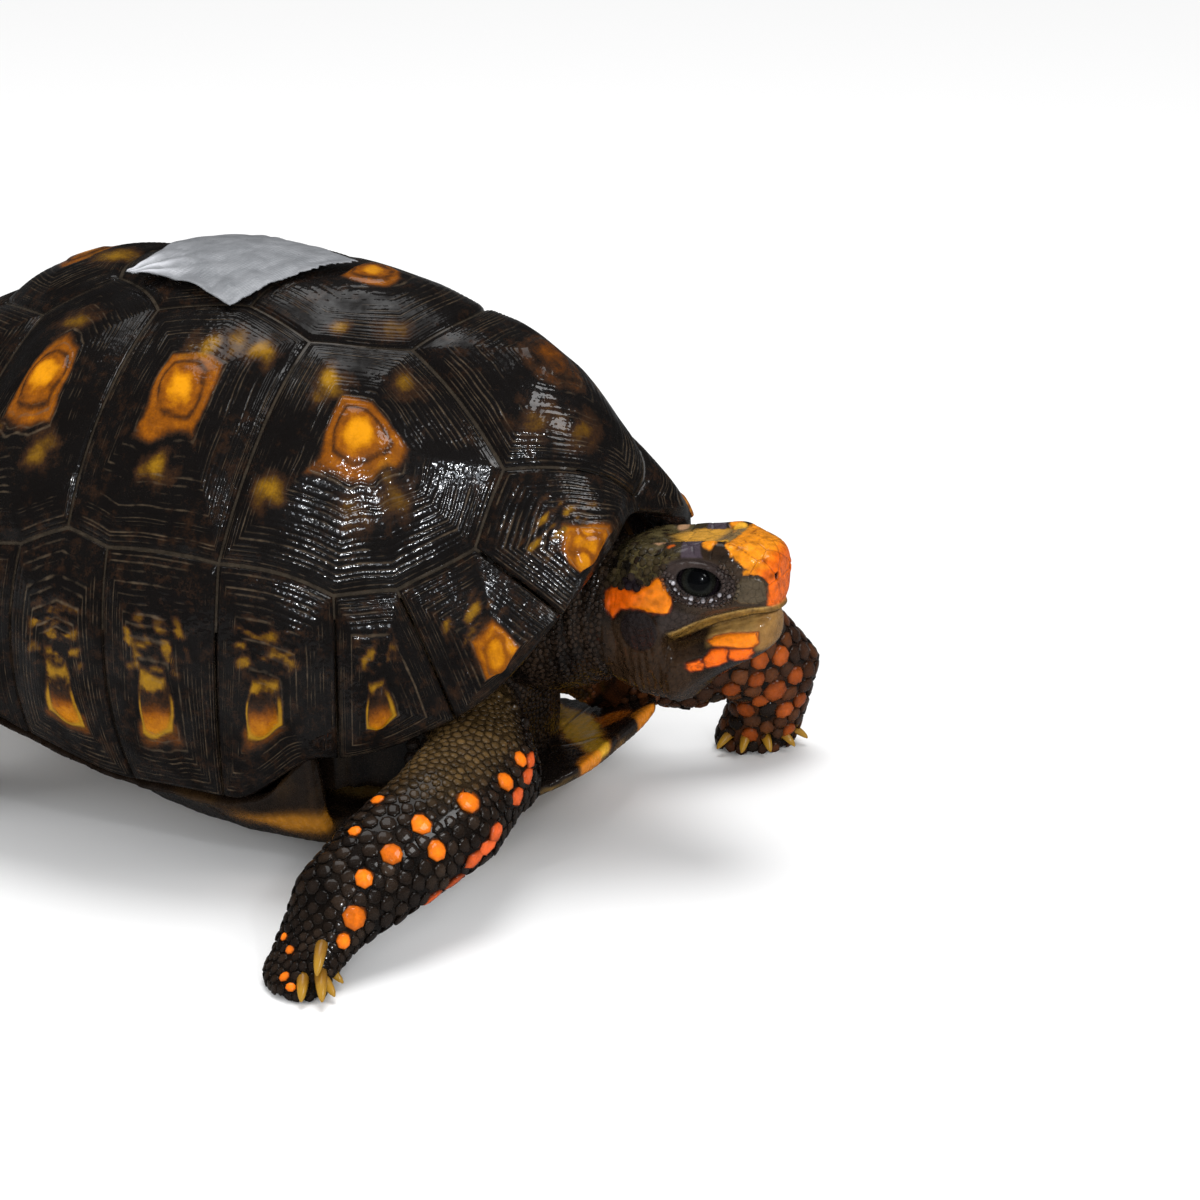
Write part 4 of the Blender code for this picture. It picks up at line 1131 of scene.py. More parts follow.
def head_colours(spot, border, owner):
    left, ahead, up = np.abs(spot[:, 0]), spot[:, 1], spot[:, 2]
    blot, wavy = ripple(spot, 0.0035, 91), 0.0003 * ripple(spot, 0.0022, 94)
    tone = np.random.default_rng(5).uniform(0, 1, 8000)[owner % 8000]
    gap = up - mouth_height(ahead)
    side = step_up(left, 0.006, 0.009)

    def patch(outline, outer, inner, shift=0.0, rise=0.0):
        return step_up(outline_reach(ahead + shift, up + rise, outline), outer, inner)

    # The dull ground, the temple and its dark spots.
    temple = step_up(up, 0.0855, 0.090) * step_up(ahead, 0.124, 0.130) * step_up(ahead, 0.156, 0.146)
    face = step_up(ahead, 0.1500, 0.1560) * step_up(up, 0.100, 0.097) * step_up(gap, -0.001, 0.001)
    colours = lay(
        np.tile(DARK, (len(spot), 1)), (0.45 + 0.4 * ripple(spot, 0.008, 92), BROWN),
        (0.55 * step_up(up, 0.078, 0.070) * step_up(ahead, 0.160, 0.152), (0.052, 0.027, 0.013)),
        (temple * (0.25 + 0.75 * tone) * step_up(blot, 0.9, 0.1), OLIVE))
    for ahead_of, height in ((0.1340, 0.0930), (0.1285, 0.0925)):
        ring = np.hypot(ahead - ahead_of, up - height)
        colours = lay(colours, (step_up(ring, 0.0022, 0.0014) * side, (0.010, 0.008, 0.006)))
    ring = np.hypot((ahead - 0.1366) * 0.6, up - 0.0890)
    # The beak: a pale lip over the mouth, and horn on the lower jaw.
    top = 0.0036 - 0.0010 * step_up(ahead, 0.152, 0.176)
    lip = step_up(gap, -0.0003, 0.0002) * step_up(gap, top + 0.0006, top - 0.0004)
    lip *= step_up(ahead, 0.1465, 0.1495)
    lower = step_up(gap, 0.0, -0.0004) * step_up(ahead + gap * 0.2, 0.1570, 0.1605)
    jaw_tip = step_up(ahead, 0.1715, 0.1745) * step_up(up, 0.066, 0.070)
    colours = lay(
        colours, (step_up(ring, 0.0026, 0.0014) * side, (0.012, 0.008, 0.010)),
        (face * 0.8, (0.052, 0.034, 0.022)),
        (patch(LIP_PLATE, 0.0005, -0.0005) * side * 0.9, (0.088, 0.066, 0.040)),
        (patch(UNDER_EYE, 0.0008, -0.0008) * side * 0.8, (0.042, 0.031, 0.027)),
        (lip * (0.70 + 0.25 * blot), GOLD),
        # A darker line across the middle of the lip is painted shadow below the lip's pale upper edge.
        (lip * bell(gap - 0.5 * top, 0.0006) * 0.6, (0.17, 0.088, 0.022)),
        (lip * bell(gap - top, 0.0005) * 0.7, (0.52, 0.34, 0.12)),
        (lower * step_up(gap, -0.0062, -0.0045) * (0.8 + 0.2 * blot), HORN),
        (lower * jaw_tip * 0.85, (0.30, 0.155, 0.045)),
        (lower * step_up(gap, -0.0100, -0.0125) * 0.8, (0.022, 0.018, 0.018)))
    # Orange bars on the chin and the cheek, each in a rusty line.
    for outline in CHIN:
        warm = np.array(AMBER) * 0.55 + np.array(ORANGE) * 0.45 if outline is CHIN[0] else ORANGE
        colours = lay(colours, (patch(outline, 0.0007, 0.0001, wavy) * 0.85 * side, RUST),
                      (patch(outline, 0.0002, -0.0003, wavy) * side, warm))
    cheek = patch(CHEEK, 0.0003, -0.0003, wavy, wavy) * side
    glow = step_up(ahead - (up - 0.085) * 0.4, 0.1340, 0.1450)
    drum = step_up(np.hypot(ahead - EARDRUM[0], up - EARDRUM[1]), 0.0068, 0.0058) * side
    # The snout, redder to the front and cracked into plates, and the crown behind it.
    beak_tip = step_up(ahead, 0.1755, 0.1768) * step_up(up, 0.0828, 0.0842) * step_up(left, 0.0085, 0.0070)
    snout = np.maximum(patch(SNOUT, 0.0003, -0.0003, wavy, wavy), beak_tip)
    red = step_up(ahead + blot * 0.0012 - (up - 0.095) * 0.5, 0.1715, 0.1765)
    crown = step_up(up, 0.0992, 0.1004) * step_up(left + wavy, 0.0078, 0.0066)
    crown *= step_up(ahead, 0.1395, 0.1415) * (1 - snout)
    colours = lay(
        colours, (patch(CHEEK, 0.0009, 0.0002, wavy, wavy) * side * 0.5, RUST),
        (cheek, between(glow, FIERY, (0.92, 0.235, 0.006))),
        (drum * 0.8 * (1 - cheek), (0.016, 0.012, 0.013)),
        (snout, between(red, SNOUT_TOP, SNOUT_TIP)),
        ((1 - step_up(border, 0.03, 0.16)) * snout * 0.7, (0.20, 0.035, 0.008)),
        (crown * (0.80 + 0.2 * tone), CROWN_GOLD),
        (crown * step_up(ahead, 0.1560, 0.1600) * 0.85, (0.135, 0.105, 0.060)),
        (patch(BROW, 0.0004, -0.0004) * step_up(left, 0.0066, 0.0078), BROW_SHADE))
    for forwards, beside, height, width, colour in BROW_SPOTS:
        reach = np.sqrt((ahead - forwards) ** 2 + (left - beside) ** 2 + (up - height) ** 2)
        colours = lay(colours, (step_up(reach + wavy, width + 0.0005, width - 0.0004), colour))
    # The lids, the nostril and the line of the mouth.
    openings = eye_space(spot)[3]
    nostril = np.hypot(left - NOSTRIL[0], up - NOSTRIL[1])
    colours = lay(
        colours, (step_up(openings, 1.95, 1.65), LID), (step_up(openings, 1.12, 1.04), (0.006, 0.005, 0.006)),
        (step_up(nostril, 0.0014, 0.0009) * (ahead > 0.172), (0.012, 0.004, 0.003)),
        (bell(gap, 0.00045) * step_up(ahead, 0.1475, 0.150) * 0.9, (0.045, 0.022, 0.008)))
    groove = (1 - step_up(border, 0.0, 0.30)) * (1 - snout) * (1 - lower) * step_up(openings, 1.9, 2.3)
    mottled = np.maximum(snout, cheek) * (1 + ripple(spot, 0.0028, 96)) * (1 + 0.6 * blot).clip(0.2)
    return colours * ((1 - 0.45 * groove * (1 - cheek * 0.9)) * (1 - 0.16 * mottled))[:, None]


# Orange scales on the right fore leg and dull ones on the left: left, forwards, up, radius.
RIGHT_LEG_SPOTS = ((-0.0850, 0.1148, 0.0404, 0.0052), (-0.0676, 0.1180, 0.0405, 0.0038),
                   (-0.0565, 0.1179, 0.0432, 0.0030), (-0.1001, 0.1072, 0.0378, 0.0040),
                   (-0.1013, 0.1126, 0.0314, 0.0036), (-0.1126, 0.1037, 0.0332, 0.0036),
                   (-0.1216, 0.1001, 0.0288, 0.0032), (-0.1292, 0.1011, 0.0198, 0.0042),
                   (-0.1345, 0.1000, 0.0145, 0.0028), (-0.0987, 0.0917, 0.0426, 0.0024),
                   (-0.1122, 0.0917, 0.0376, 0.0020), (-0.1369, 0.0806, 0.0132, 0.0014),
                   (-0.1467, 0.0867, 0.0064, 0.0015), (-0.1492, 0.0903, 0.0052, 0.0015),
                   (-0.1400, 0.0850, 0.0110, 0.0014))
RIGHT_LEG_EDGE = ((-0.0524, 0.1192, 0.0422, 0.0026), (-0.0565, 0.1204, 0.0382, 0.0028),
                  (-0.0650, 0.1206, 0.0350, 0.0030), (-0.0803, 0.1218, 0.0300, 0.0034),
                  (-0.0855, 0.1213, 0.0268, 0.0030), (-0.0903, 0.1198, 0.0245, 0.0032),
                  (-0.0953, 0.1164, 0.0190, 0.0034), (-0.1040, 0.1135, 0.0165, 0.0032),
                  (-0.1150, 0.1095, 0.0125, 0.0030), (-0.1250, 0.1055, 0.0095, 0.0026))
LEFT_LEG_SPOTS = ((0.0655, 0.1531, 0.0395, 0.0046), (0.0658, 0.1410, 0.0180, 0.0036),
                  (0.0660, 0.1514, 0.0267, 0.0046), (0.0727, 0.1526, 0.0174, 0.0044),
                  (0.0582, 0.1489, 0.0396, 0.0034), (0.0769, 0.1562, 0.0201, 0.0034),
                  (0.0543, 0.1401, 0.0291, 0.0036), (0.0693, 0.1415, 0.0078, 0.0034),
                  (0.0787, 0.1522, 0.0080, 0.0034), (0.0600, 0.1460, 0.0330, 0.0034),
                  (0.0640, 0.1470, 0.0220, 0.0030), (0.0720, 0.1560, 0.0310, 0.0034))


LEG_GROUPS = ((RIGHT_LEG_SPOTS, (0.74, 0.155, 0.006), 1.0), (RIGHT_LEG_EDGE, (0.58, 0.088, 0.016), 1.0),
              (LEFT_LEG_SPOTS, (0.27, 0.052, 0.006), 0.95))
HIND_SPOTS = ((-0.060, -0.102, 0.030), (-0.072, -0.107, 0.022), (0.058, -0.118, 0.028))


def limb_colours(spot, kept=None):
    """Dark brown skin. With kept, only those scales are orange, each in one tone."""
    upper_arm = step_up(spot[:, 0], -0.100, -0.080) * step_up(spot[:, 0], -0.022, -0.030)
    upper_arm *= step_up(spot[:, 2] - 0.16 * spot[:, 0], 0.052, 0.058) * (spot[:, 1] > 0.05)
    far_leg = step_up(spot[:, 0], 0.020, 0.030) * (spot[:, 1] > 0.05)
    colours = lay(
        np.tile(DARK, (len(spot), 1)), (0.30 + 0.35 * ripple(spot, 0.012, 93), BROWN),
        (upper_arm * (0.75 + 0.25 * ripple(spot, 0.006, 95)), (0.092, 0.054, 0.019)),
        (far_leg * (0.35 + 0.65 * ripple(spot, 0.006, 98)).clip(0, 1), (0.110, 0.034, 0.010)))
    for group, colour, blend in LEG_GROUPS:
        for *where, radius in group:
            reach = np.linalg.norm(spot - where, axis=1)
            soft = step_up(reach, radius * 0.85, radius * 0.5)
            share = soft if kept is None else kept * (reach < radius * 0.8)
            colours = lay(colours, (share * blend, colour))
    for where in HIND_SPOTS:
        near = np.linalg.norm(spot - where, axis=1)
        colours = lay(colours, (step_up(near, 0.0042, 0.0030), (0.42, 0.085, 0.010)))
    tail_side = step_up(-spot[:, 1], 0.120, 0.130) * bell(np.abs(spot[:, 0] - 0.004) - 0.008, 0.003)
    tail_spots = tail_side * step_up(ripple(spot, 0.010, 97), 0.1, 0.4)
    return lay(colours, (tail_spots * 0.8, (0.40, 0.085, 0.010)))


# %% Damp skin material
def damp_skin(name, wet_rough=0.16, dry_rough=0.42, coat=0.75, coat_rough=0.05):
    material, shader = start_material(name)
    where = object_place(material)
    base = add(material, "Attribute", attribute_name="coat").outputs["Color"]
    tone = remap(material, noise(material, where, 420, 5, 0.6), 0.25, 0.75, 0.66, 1.25)
    join(material, scaled(material, base, tone), shader, "Base Color")
    rough = remap(material, noise(material, where, 900, 3), 0.35, 0.65, wet_rough, dry_rough)
    join(material, rough, shader, "Roughness")
    grain = bump(material, noise(material, where, 2600, 3, 0.6), 0.4, 0.00012)
    creases = add(material, "TexVoronoi", {"Vector": where, "Scale": 1100, "Randomness": 1.0},
                  feature="DISTANCE_TO_EDGE").outputs["Distance"]
    crease = remap(material, creases, 0.0, 0.18)
    join(material, bump(material, crease, 0.25, 0.00014, grain), shader, "Normal")
    settle(shader, {"Specular IOR Level": 0.12, "Coat Weight": coat, "Coat Roughness": coat_rough})
    return material


spot = measured(read(skin, "co"))
on_head = step_up(spot[:, 1], 0.124, 0.131) * (np.abs(spot[:, 0]) < 0.030)
colours = limb_colours(spot) * 0.5
colours += (head_colours(spot, border, owner) - colours) * on_head[:, None]
paint(skin, "coat", colours)
wet_skin = damp_skin("damp_skin")
skin.data.materials.append(wet_skin)
select_only(skin)
bpy.ops.object.shade_smooth()
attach(skin, "root")
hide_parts(*FLESH)
print("coloured", len(skin.data.vertices), "points of skin")

# %% [markdown]
# ## Scales
#
# Reptile scales are plates of keratin that meet edge to edge, small where the skin must fold and large
# where it must be tough. Seeds are scattered over the skin at the spacing wanted there and moved apart
# evenly. Round each seed the scale reaches half way to its neighbours, which gives the many-sided shapes
# of real scales, and its far edge is raised a little, so that scales overlap towards the foot.

# %% Scatter the seeds
SIDES = 8
TURN = np.arange(SIDES) * math.tau / SIDES


def surface_of(piece, wanted):
    """Corner points, areas and normals of the triangles of a region."""
    piece.data.calc_loop_triangles()
    corners = np.empty(len(piece.data.loop_triangles) * 3, np.int32)
    piece.data.loop_triangles.foreach_get("vertices", corners)
    points = read(piece, "co")
    triangles = points[corners.reshape(-1, 3)]
    triangles = triangles[wanted(measured(triangles.mean(1)))]
    normals = np.cross(triangles[:, 1] - triangles[:, 0], triangles[:, 2] - triangles[:, 0])
    doubled = np.linalg.norm(normals, axis=1)
    return triangles, doubled / 2, normals / doubled[:, None]


MOST_TRIED = 60000


def scatter(piece, wanted, spacing, fixed, seed):
    """Seeds on a region of the skin: places, normals and spacing. Fixed ones keep their place."""
    dice = np.random.default_rng(seed)
    triangles, areas, normals = surface_of(piece, wanted)
    tried = min(int(14 * areas.sum() / 1.6e-6), MOST_TRIED)
    chosen = dice.choice(len(triangles), tried, p=areas / areas.sum())
    a, b = dice.random((2, tried))
    a, b = np.where(a + b > 1, 1 - a, a), np.where(a + b > 1, 1 - b, b)
    first, second, third = (triangles[chosen, i] for i in range(3))
    spots = first + a[:, None] * (second - first) + b[:, None] * (third - first)
    gaps = spacing(measured(spots))
    near = tree_of(spots)
    free = np.ones(tried, bool)
    taken = []
    for left, ahead, up, radius in fixed:
        _, number, _ = near.find(place(left, ahead, up))
        if number is not None:
            taken.append(number)
            gaps[number] = 2 * radius
            for _, other, _ in near.find_range(spots[number], radius + 0.0008):
                free[other] = False
    for number in range(tried):
        if free[number]:
            taken.append(number)
            for _, other, _ in near.find_range(spots[number], 0.80 * gaps[number]):
                free[other] = False
    taken = np.array(taken)
    for _ in range(3):
        seeds = tree_of(spots[taken])
        owner = np.array([seeds.find(here)[1] for here in spots])
        share = np.bincount(owner, minlength=len(taken)).astype(float)
        sums = np.stack([np.bincount(owner, spots[:, i], len(taken)) for i in range(3)], 1)
        moved = np.array([near.find(here)[1] for here in sums / share[:, None].clip(1)])
        taken = np.concatenate([taken[:len(fixed)], moved[len(fixed):]])
    kept = np.isin(np.unique(taken), taken[:len(fixed)])
    taken = np.unique(taken)
    return spots[taken], normals[chosen[taken]], gaps[taken], kept


# %% The shape of a scale
def half_way(places, lie, beside, gaps):
    """How far each scale reaches in eight directions: half way to the neighbours there."""
    near = tree_of(places)
    reach = np.full((len(places), SIDES), 9.0)
    for number, here in enumerate(places):
        close = [other for _, other, _ in near.find_n(here, 10) if other != number]
        way = places[close] - here
        flat = np.stack([way @ lie[number], way @ beside[number]], 1)
        away = np.linalg.norm(flat, axis=1)
        turn = np.cos(TURN[:, None] - np.arctan2(flat[:, 1], flat[:, 0])[None])
        own, theirs = gaps[number], gaps[close]
        reach[number] = np.where(turn > 0.15, away * own / (own + theirs) / turn.clip(0.15), 9.0).min(1)
    return np.minimum(reach, 0.62 * gaps[:, None])


def edge_scales(spot, kept):
    """Which scales belong to the row of long ones at the edge of the right fore leg."""
    found = np.zeros(len(spot))
    for *where, _ in RIGHT_LEG_EDGE:
        found = np.maximum(found, kept * (np.linalg.norm(spot - where, axis=1) < 0.0015))
    return found[:, None]


def scale_faces(count, each):
    """Faces of all scales: three bands between four rings, a fan on top and one below."""
    step = np.arange(SIDES)
    after = (step + 1) % SIDES
    top = 3 * SIDES
    bands = [np.stack([k + step, k + after, k + SIDES + after, k + SIDES + step], 1)
             for k in range(0, top, SIDES)]
    quads = np.concatenate(bands)
    tops = np.stack([top + step, top + after, np.full(SIDES, top + SIDES)], 1)
    floors = np.stack([after, step, np.full(SIDES, top + SIDES + 1)], 1)
    faces = []
    for first in range(0, count * each, each):
        faces += (quads + first).tolist() + (tops + first).tolist() + (floors + first).tolist()
    return faces


def unwrap_scales(mesh, root):
    """Gives each scale a small patch of the map, at its root's place."""
    spread = np.stack([np.cos(TURN), np.sin(TURN)], 1)
    shape = np.concatenate([spread * size for size in (1, 0.9, 0.7, 0.4)] + [np.zeros((2, 2))]) * PATCH
    patch = (root[:, None] + shape[None]).reshape(-1, 2)
    layer = mesh.uv_layers.new(name="OFBake")
    loops = np.empty(len(mesh.loops), np.int32)
    mesh.loops.foreach_get("vertex_index", loops)
    layer.data.foreach_set("uv", patch[loops].astype(np.float32).ravel())


# %% Build scales on the seeds
PATCH = 0.0014
# Rings of a scale from its foot up: share of its reach and of its height. Then two points, above and below.
RINGS = ((0.99, -0.9), (1.0, 0.05), (0.92, 0.62), (0.62, 0.95))
# How bright each ring of a scale is painted, from its foot up, then the points above and below: painted shade
# low on the scale and a painted highlight on its top.
PAINTED_LIGHT_BY_RING = np.repeat((0.22, 0.35, 0.75, 1.05, 1.35, 0.3), (SIDES,) * 4 + (1, 1))


def scales(name, wanted, spacing, colour_of, lie_of, unwrap, height=0.00045, fixed=(), seed=1, lift=0.25,
           material=wet_skin):
    """One closed piece of many scales. lie_of gives the way they overlap, unwrap their place on the skin."""
    places, normals, gaps, kept = scatter(skin, wanted, spacing, fixed, seed)
    dice = np.random.default_rng(seed + 1)
    count = len(places)
    spot = measured(places)
    lie = lie_of(spot)
    lie = lie - (lie * normals).sum(1, keepdims=True) * normals
    lie /= np.linalg.norm(lie, axis=1, keepdims=True).clip(1e-9)
    beside = np.cross(normals, lie)
    reach = half_way(places, lie, beside, gaps)
    middle = reach.mean(1, keepdims=True)
    evened = np.where(kept, 0.7, 0.15)[:, None]
    reach = 0.95 * np.minimum(reach * (1 - evened) + middle * evened, middle * 1.35)
    longer = 0.55 * np.abs(np.cos(TURN)) ** 3 - 0.30 * np.abs(np.sin(TURN))
    reach = reach * (1 + edge_scales(spot, kept) * longer)
    tall = height * (gaps / 0.0022) ** 0.5 * dice.uniform(0.8, 1.2, count) * np.where(kept, 1.15, 1)
    around = np.cos(TURN)[:, None] * lie[:, None] + np.sin(TURN)[:, None] * beside[:, None]
    points = []
    for share, rise in RINGS:
        tilt = lift * np.cos(TURN) * (rise > -0.5)
        up = tall[:, None] * (rise + tilt * share)
        out = around * (reach * share * (1 + 0.72 * tilt))[:, :, None]
        points.append(places[:, None] + out + normals[:, None] * up[:, :, None])
    points.append((places + normals * tall[:, None] * 1.04)[:, None])
    points.append((places - normals * tall[:, None] * 0.9)[:, None])
    points = np.concatenate(points, 1)
    faces = scale_faces(count, points.shape[1])
    mesh = bpy.data.meshes.new(name)
    mesh.from_pydata(points.reshape(-1, 3).tolist(), [], faces)
    coat = bpy.data.objects.new(name, mesh)
    bpy.context.collection.objects.link(coat)
    colours = colour_of(spot, kept) * dice.uniform(0.75, 1.35, count)[:, None]
    # Each scale is painted darker towards its foot and lighter on its top: painted shade and a painted
    # highlight.
    paint(coat, "coat", (colours[:, None] * PAINTED_LIGHT_BY_RING[:, None]).reshape(-1, 3))
    unwrap_scales(mesh, unwrap(spot))
    mesh.materials.append(material)
    select_only(coat)
    bpy.ops.object.shade_smooth()
    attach(coat, "root")
    print(name, count, "scales,", sum(len(face) - 2 for face in faces), "triangles")


# %% Scales of the four legs and the tail
def down_path(path):
    """For skin round a limb: the way towards its end, the share of its length, and the way out from it."""
    path = np.array(path)
    ways = path[1:] - path[:-1]
    lengths = np.concatenate([[0], np.cumsum(np.linalg.norm(ways, axis=1))])

    def at(spot):
        away, share = np.full(len(spot), np.inf), np.zeros(len(spot))
        way, foot = np.zeros((len(spot), 3)), np.zeros((len(spot), 3))
        for number, (start, step) in enumerate(zip(path[:-1], ways)):
            part = np.clip((spot - start) @ step / (step @ step), 0, 1)
            gap = np.linalg.norm(spot - start - part[:, None] * step, axis=1)
            closer = gap < away
            away = np.where(closer, gap, away)
            way[closer] = step
            foot[closer] = (start + part[:, None] * step)[closer]
            share = np.where(closer, (lengths[number] + part * np.linalg.norm(step)) / lengths[-1], share)
        side = spot - foot
        return way * np.array([1, -1, 1]), share, side

    return at


def limb_unwrap(at):
    def unwrap(spot):
        way, share, side = at(spot)
        way = way * np.array([1, -1, 1])
        one = np.cross(way, (0.3, 0.2, 1.0))
        one /= np.linalg.norm(one, axis=1, keepdims=True)
        two = np.cross(way, one)
        two /= np.linalg.norm(two, axis=1, keepdims=True)
        turn = np.arctan2((side * two).sum(1), (side * one).sum(1)) / math.tau + 0.5
        return np.stack([0.01 + 0.98 * turn, 0.01 + 0.98 * share], 1)

    return unwrap


PATHS = {
    "fore_right": ((-0.028, 0.085, 0.046), (-0.055, 0.105, 0.040), (-0.082, 0.106, 0.0335),
                   (-0.107, 0.0985, 0.0265), (-0.126, 0.0905, 0.0180), (-0.143, 0.0880, 0.0080)),
    "fore_left": ((0.028, 0.085, 0.046), (0.0485, 0.1165, 0.0463), (0.066, 0.141, 0.041),
                  (0.077, 0.147, 0.028), (0.080, 0.143, 0.0140), (0.081, 0.142, 0.0)),
    "hind_right": ((-0.036, -0.068, 0.054), (-0.056, -0.084, 0.048), (-0.068, -0.093, 0.033),
                   (-0.070, -0.095, 0.019), (-0.070, -0.095, 0.0)),
    "hind_left": ((0.036, -0.070, 0.054), (0.054, -0.094, 0.0455), (0.067, -0.109, 0.0320),
                  (0.071, -0.114, 0.019), (0.071, -0.115, 0.0)),
}
FIXED = {"fore_right": RIGHT_LEG_SPOTS + RIGHT_LEG_EDGE, "fore_left": LEFT_LEG_SPOTS}


def on_leg(limb):
    side = -1 if limb.endswith("right") else 1
    ahead = 1 if limb.startswith("fore") else -1

    def wanted(spot):
        lateral, forward = spot[:, 0] * side, spot[:, 1] * ahead
        return (lateral > 0.034) & (forward > 0.072) & (spot[:, 2] > 0.0012) & (spot[:, 2] < 0.066)

    return wanted


def on_tail(spot):
    return (spot[:, 1] < -0.108) & (np.abs(spot[:, 0]) < 0.026) & (spot[:, 2] < 0.062)


def even(gap):
    """The same spacing everywhere."""
    return lambda spot: np.full(len(spot), gap)


def leg_spacing(limb):
    at = down_path(PATHS[limb])

    def spacing(spot):
        _, share, side = at(spot)
        if limb == "fore_right":
            upper = step_up(spot[:, 0], -0.104, -0.088) * step_up(side[:, 2], 0.003, 0.006)
            return 0.0046 - 0.0020 * upper - 0.0016 * step_up(share, 0.80, 0.92)
        if limb == "fore_left":
            return 0.0062 - 0.0028 * step_up(share, 0.45, 0.25) - 0.0022 * step_up(share, 0.86, 0.95)
        return 0.0032 + 0.0012 * step_up(share, 0.45, 0.75) - 0.0012 * step_up(share, 0.86, 0.96)

    return spacing


for number, limb in enumerate(PATHS):
    at = down_path(PATHS[limb])
    scales("scales_" + limb, on_leg(limb), leg_spacing(limb), limb_colours, lambda spot: at(spot)[0],
           limb_unwrap(at), height=0.00036 if limb == "fore_right" else 0.00050, fixed=FIXED.get(limb, ()),
           seed=40 + number, lift=0.26)
TAIL = ((0, -0.080, 0.050), (0, -0.112, 0.047), (0.002, -0.130, 0.042), (0.006, -0.143, 0.034),
        (0.011, -0.152, 0.026), (0.0155, -0.158, 0.0180))
at = down_path(TAIL)
scales("scales_tail", on_tail, even(0.0024), limb_colours, lambda spot: at(spot)[0], limb_unwrap(at), seed=51)

# %% Small scales of the head and neck
def head_unwrap(spot):
    turn = np.arctan2(spot[:, 0], spot[:, 2] - 0.077) / math.tau + 0.5
    return np.stack([0.01 + 0.98 * turn, ((spot[:, 1] - 0.080) / 0.102).clip(0.01, 0.99)], 1)


def plain_head_colours(spot, _kept):
    return head_colours(spot, np.ones(len(spot)), np.full(len(spot), 7))


def lid_glint_colours(spot, kept):
    """Beads of skin below the eye, with pale dots painted on some of them: painted glints where drops of
    water catch the light.
    """
    _, across, _, openings = eye_space(spot)
    drops = step_up(ripple(spot, 0.0014, 64), 0.15, 0.45) * (across < -0.0012) * step_up(openings, 1.75, 1.45)
    return lay(plain_head_colours(spot, kept), (drops * 0.9, (0.46, 0.44, 0.47)))


def by_lids(spot):
    """The folded skin round the eyes, without the lids' own edges."""
    along, across, out, openings = eye_space(spot)
    below = (openings > 1.16) & (openings < 1.85) & (across < 0.0010)
    before = (along > 0.0045) & (openings > 1.15) & (openings < 2.0) & (spot[:, 1] < 0.1705)
    return (out > 0.001) & (below | before) & (spot[:, 1] > 0.13)


def on_temple(spot):
    side = (np.abs(spot[:, 0]) > 0.008) & (spot[:, 1] > 0.124) & (spot[:, 1] < 0.148) & (spot[:, 2] > 0.0865)
    return side & (outline_reach(spot[:, 1], spot[:, 2], CHEEK) > 0.0006) & (spot[:, 2] < 0.0985)


def on_neck_skin(spot):
    return (np.abs(spot[:, 0]) < 0.028) & (spot[:, 1] > 0.092) & (spot[:, 1] < 0.127)


def backwards(spot):
    return np.tile((0.0, 1.0, -0.25), (len(spot), 1))


def neck_colours(spot, _kept):
    return limb_colours(spot) * 1.3


scales("scales_lids", by_lids, even(0.00135), lid_glint_colours, backwards, head_unwrap, height=0.00070,
       seed=61, lift=0.05, material=damp_skin("wet_lids", 0.10, 0.25, 1.0, 0.12))
scales("scales_temple", on_temple, even(0.0026), plain_head_colours, backwards, head_unwrap, height=0.00018,
       seed=62, lift=0.1)
scales("scales_neck", on_neck_skin, even(0.00174), neck_colours, backwards, head_unwrap, height=0.00022,
       seed=63, lift=0.2)

# %% [markdown]
# ## Eyes
#
# An eyeball is a ball with a dark iris and a wet surface. Its colour depends on the angle from the middle
# of the iris, so it is kept as a measure on every point, and the material turns that into rings.

# %% Two eyes
# Colours outwards from the middle of the pupil, as shares of EYE_SPAN degrees.
EYE_SPAN = 70
EYE_TONES = ((0.0, (0.0012, 0.0014, 0.002)), (0.38, (0.0015, 0.0017, 0.002)), (0.45, (0.008, 0.009, 0.008)),
             (0.62, (0.012, 0.012, 0.009)), (0.70, (0.006, 0.005, 0.006)), (0.80, (0.020, 0.014, 0.018)),
             (1.0, (0.014, 0.010, 0.012)))


def eye_material(name):
    material, shader = start_material(name)
    colour = ramp(material, first_measure(material, "iris"), EYE_TONES)
    tone = remap(material, noise(material, object_place(material), 700, 4), 0.3, 0.7, 0.75, 1.3)
    join(material, scaled(material, colour, tone), shader, "Base Color")
    settle(shader, {"Roughness": 0.25, "Specular IOR Level": 0.1, "Coat Weight": 0.9, "Coat IOR": 1.36,
                    "Coat Roughness": 0.015})
    return material


wet_eye = eye_material("wet_eye")
IRIS_WAY = unit(np.array([0.83, 0.36, 0.42]))
for side, word in ((1, "left"), (-1, "right")):
    deselect()
    bpy.ops.mesh.primitive_ico_sphere_add(subdivisions=5, radius=1)
    eye = bpy.context.object
    eye.name = "eyeball_" + word
    ways = unit(read(eye, "co"))
    gaze = ways * np.array([side, -1, 1]) @ IRIS_WAY
    angle = np.degrees(np.arccos(gaze.clip(-1, 1)))
    cornea = BALL * (1 + 0.05 * step_up(angle, 36, 10))
    bend(eye, place(side * EYE[0], EYE[1], EYE[2]) + ways * cornea[:, None])
    paint(eye, "iris", (angle / EYE_SPAN).clip(0, 1)[:, None])
    bpy.ops.object.shade_smooth()
    eye.data.materials.append(wet_eye)
    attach(eye, "root")
    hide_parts("eye_" + word)
print("two eyes,", round(2 * BALL * 1000, 1), "mm across")

# %% [markdown]
# ## Claws
#
# Each claw is a curved cone of horn, thick at the root, flatter below and worn at the tip. A tube of rings
# is bent along a curve from root to tip, which are read off the plain claw it stands for. It starts inside
# the toe, and its worn tip ends about a fifth short of the plain one.

# %% Make the claws
CLAW_TONES = ((0.10, (0.030, 0.015, 0.005)), (0.34, (0.17, 0.080, 0.008)), (0.70, (0.28, 0.130, 0.011)),
              (1.0, (0.40, 0.210, 0.017)))
SHORTENED, CLAW_THICK, CLAW_SIDES, CLAW_RINGS = 0.78, 0.0016, 12, 13


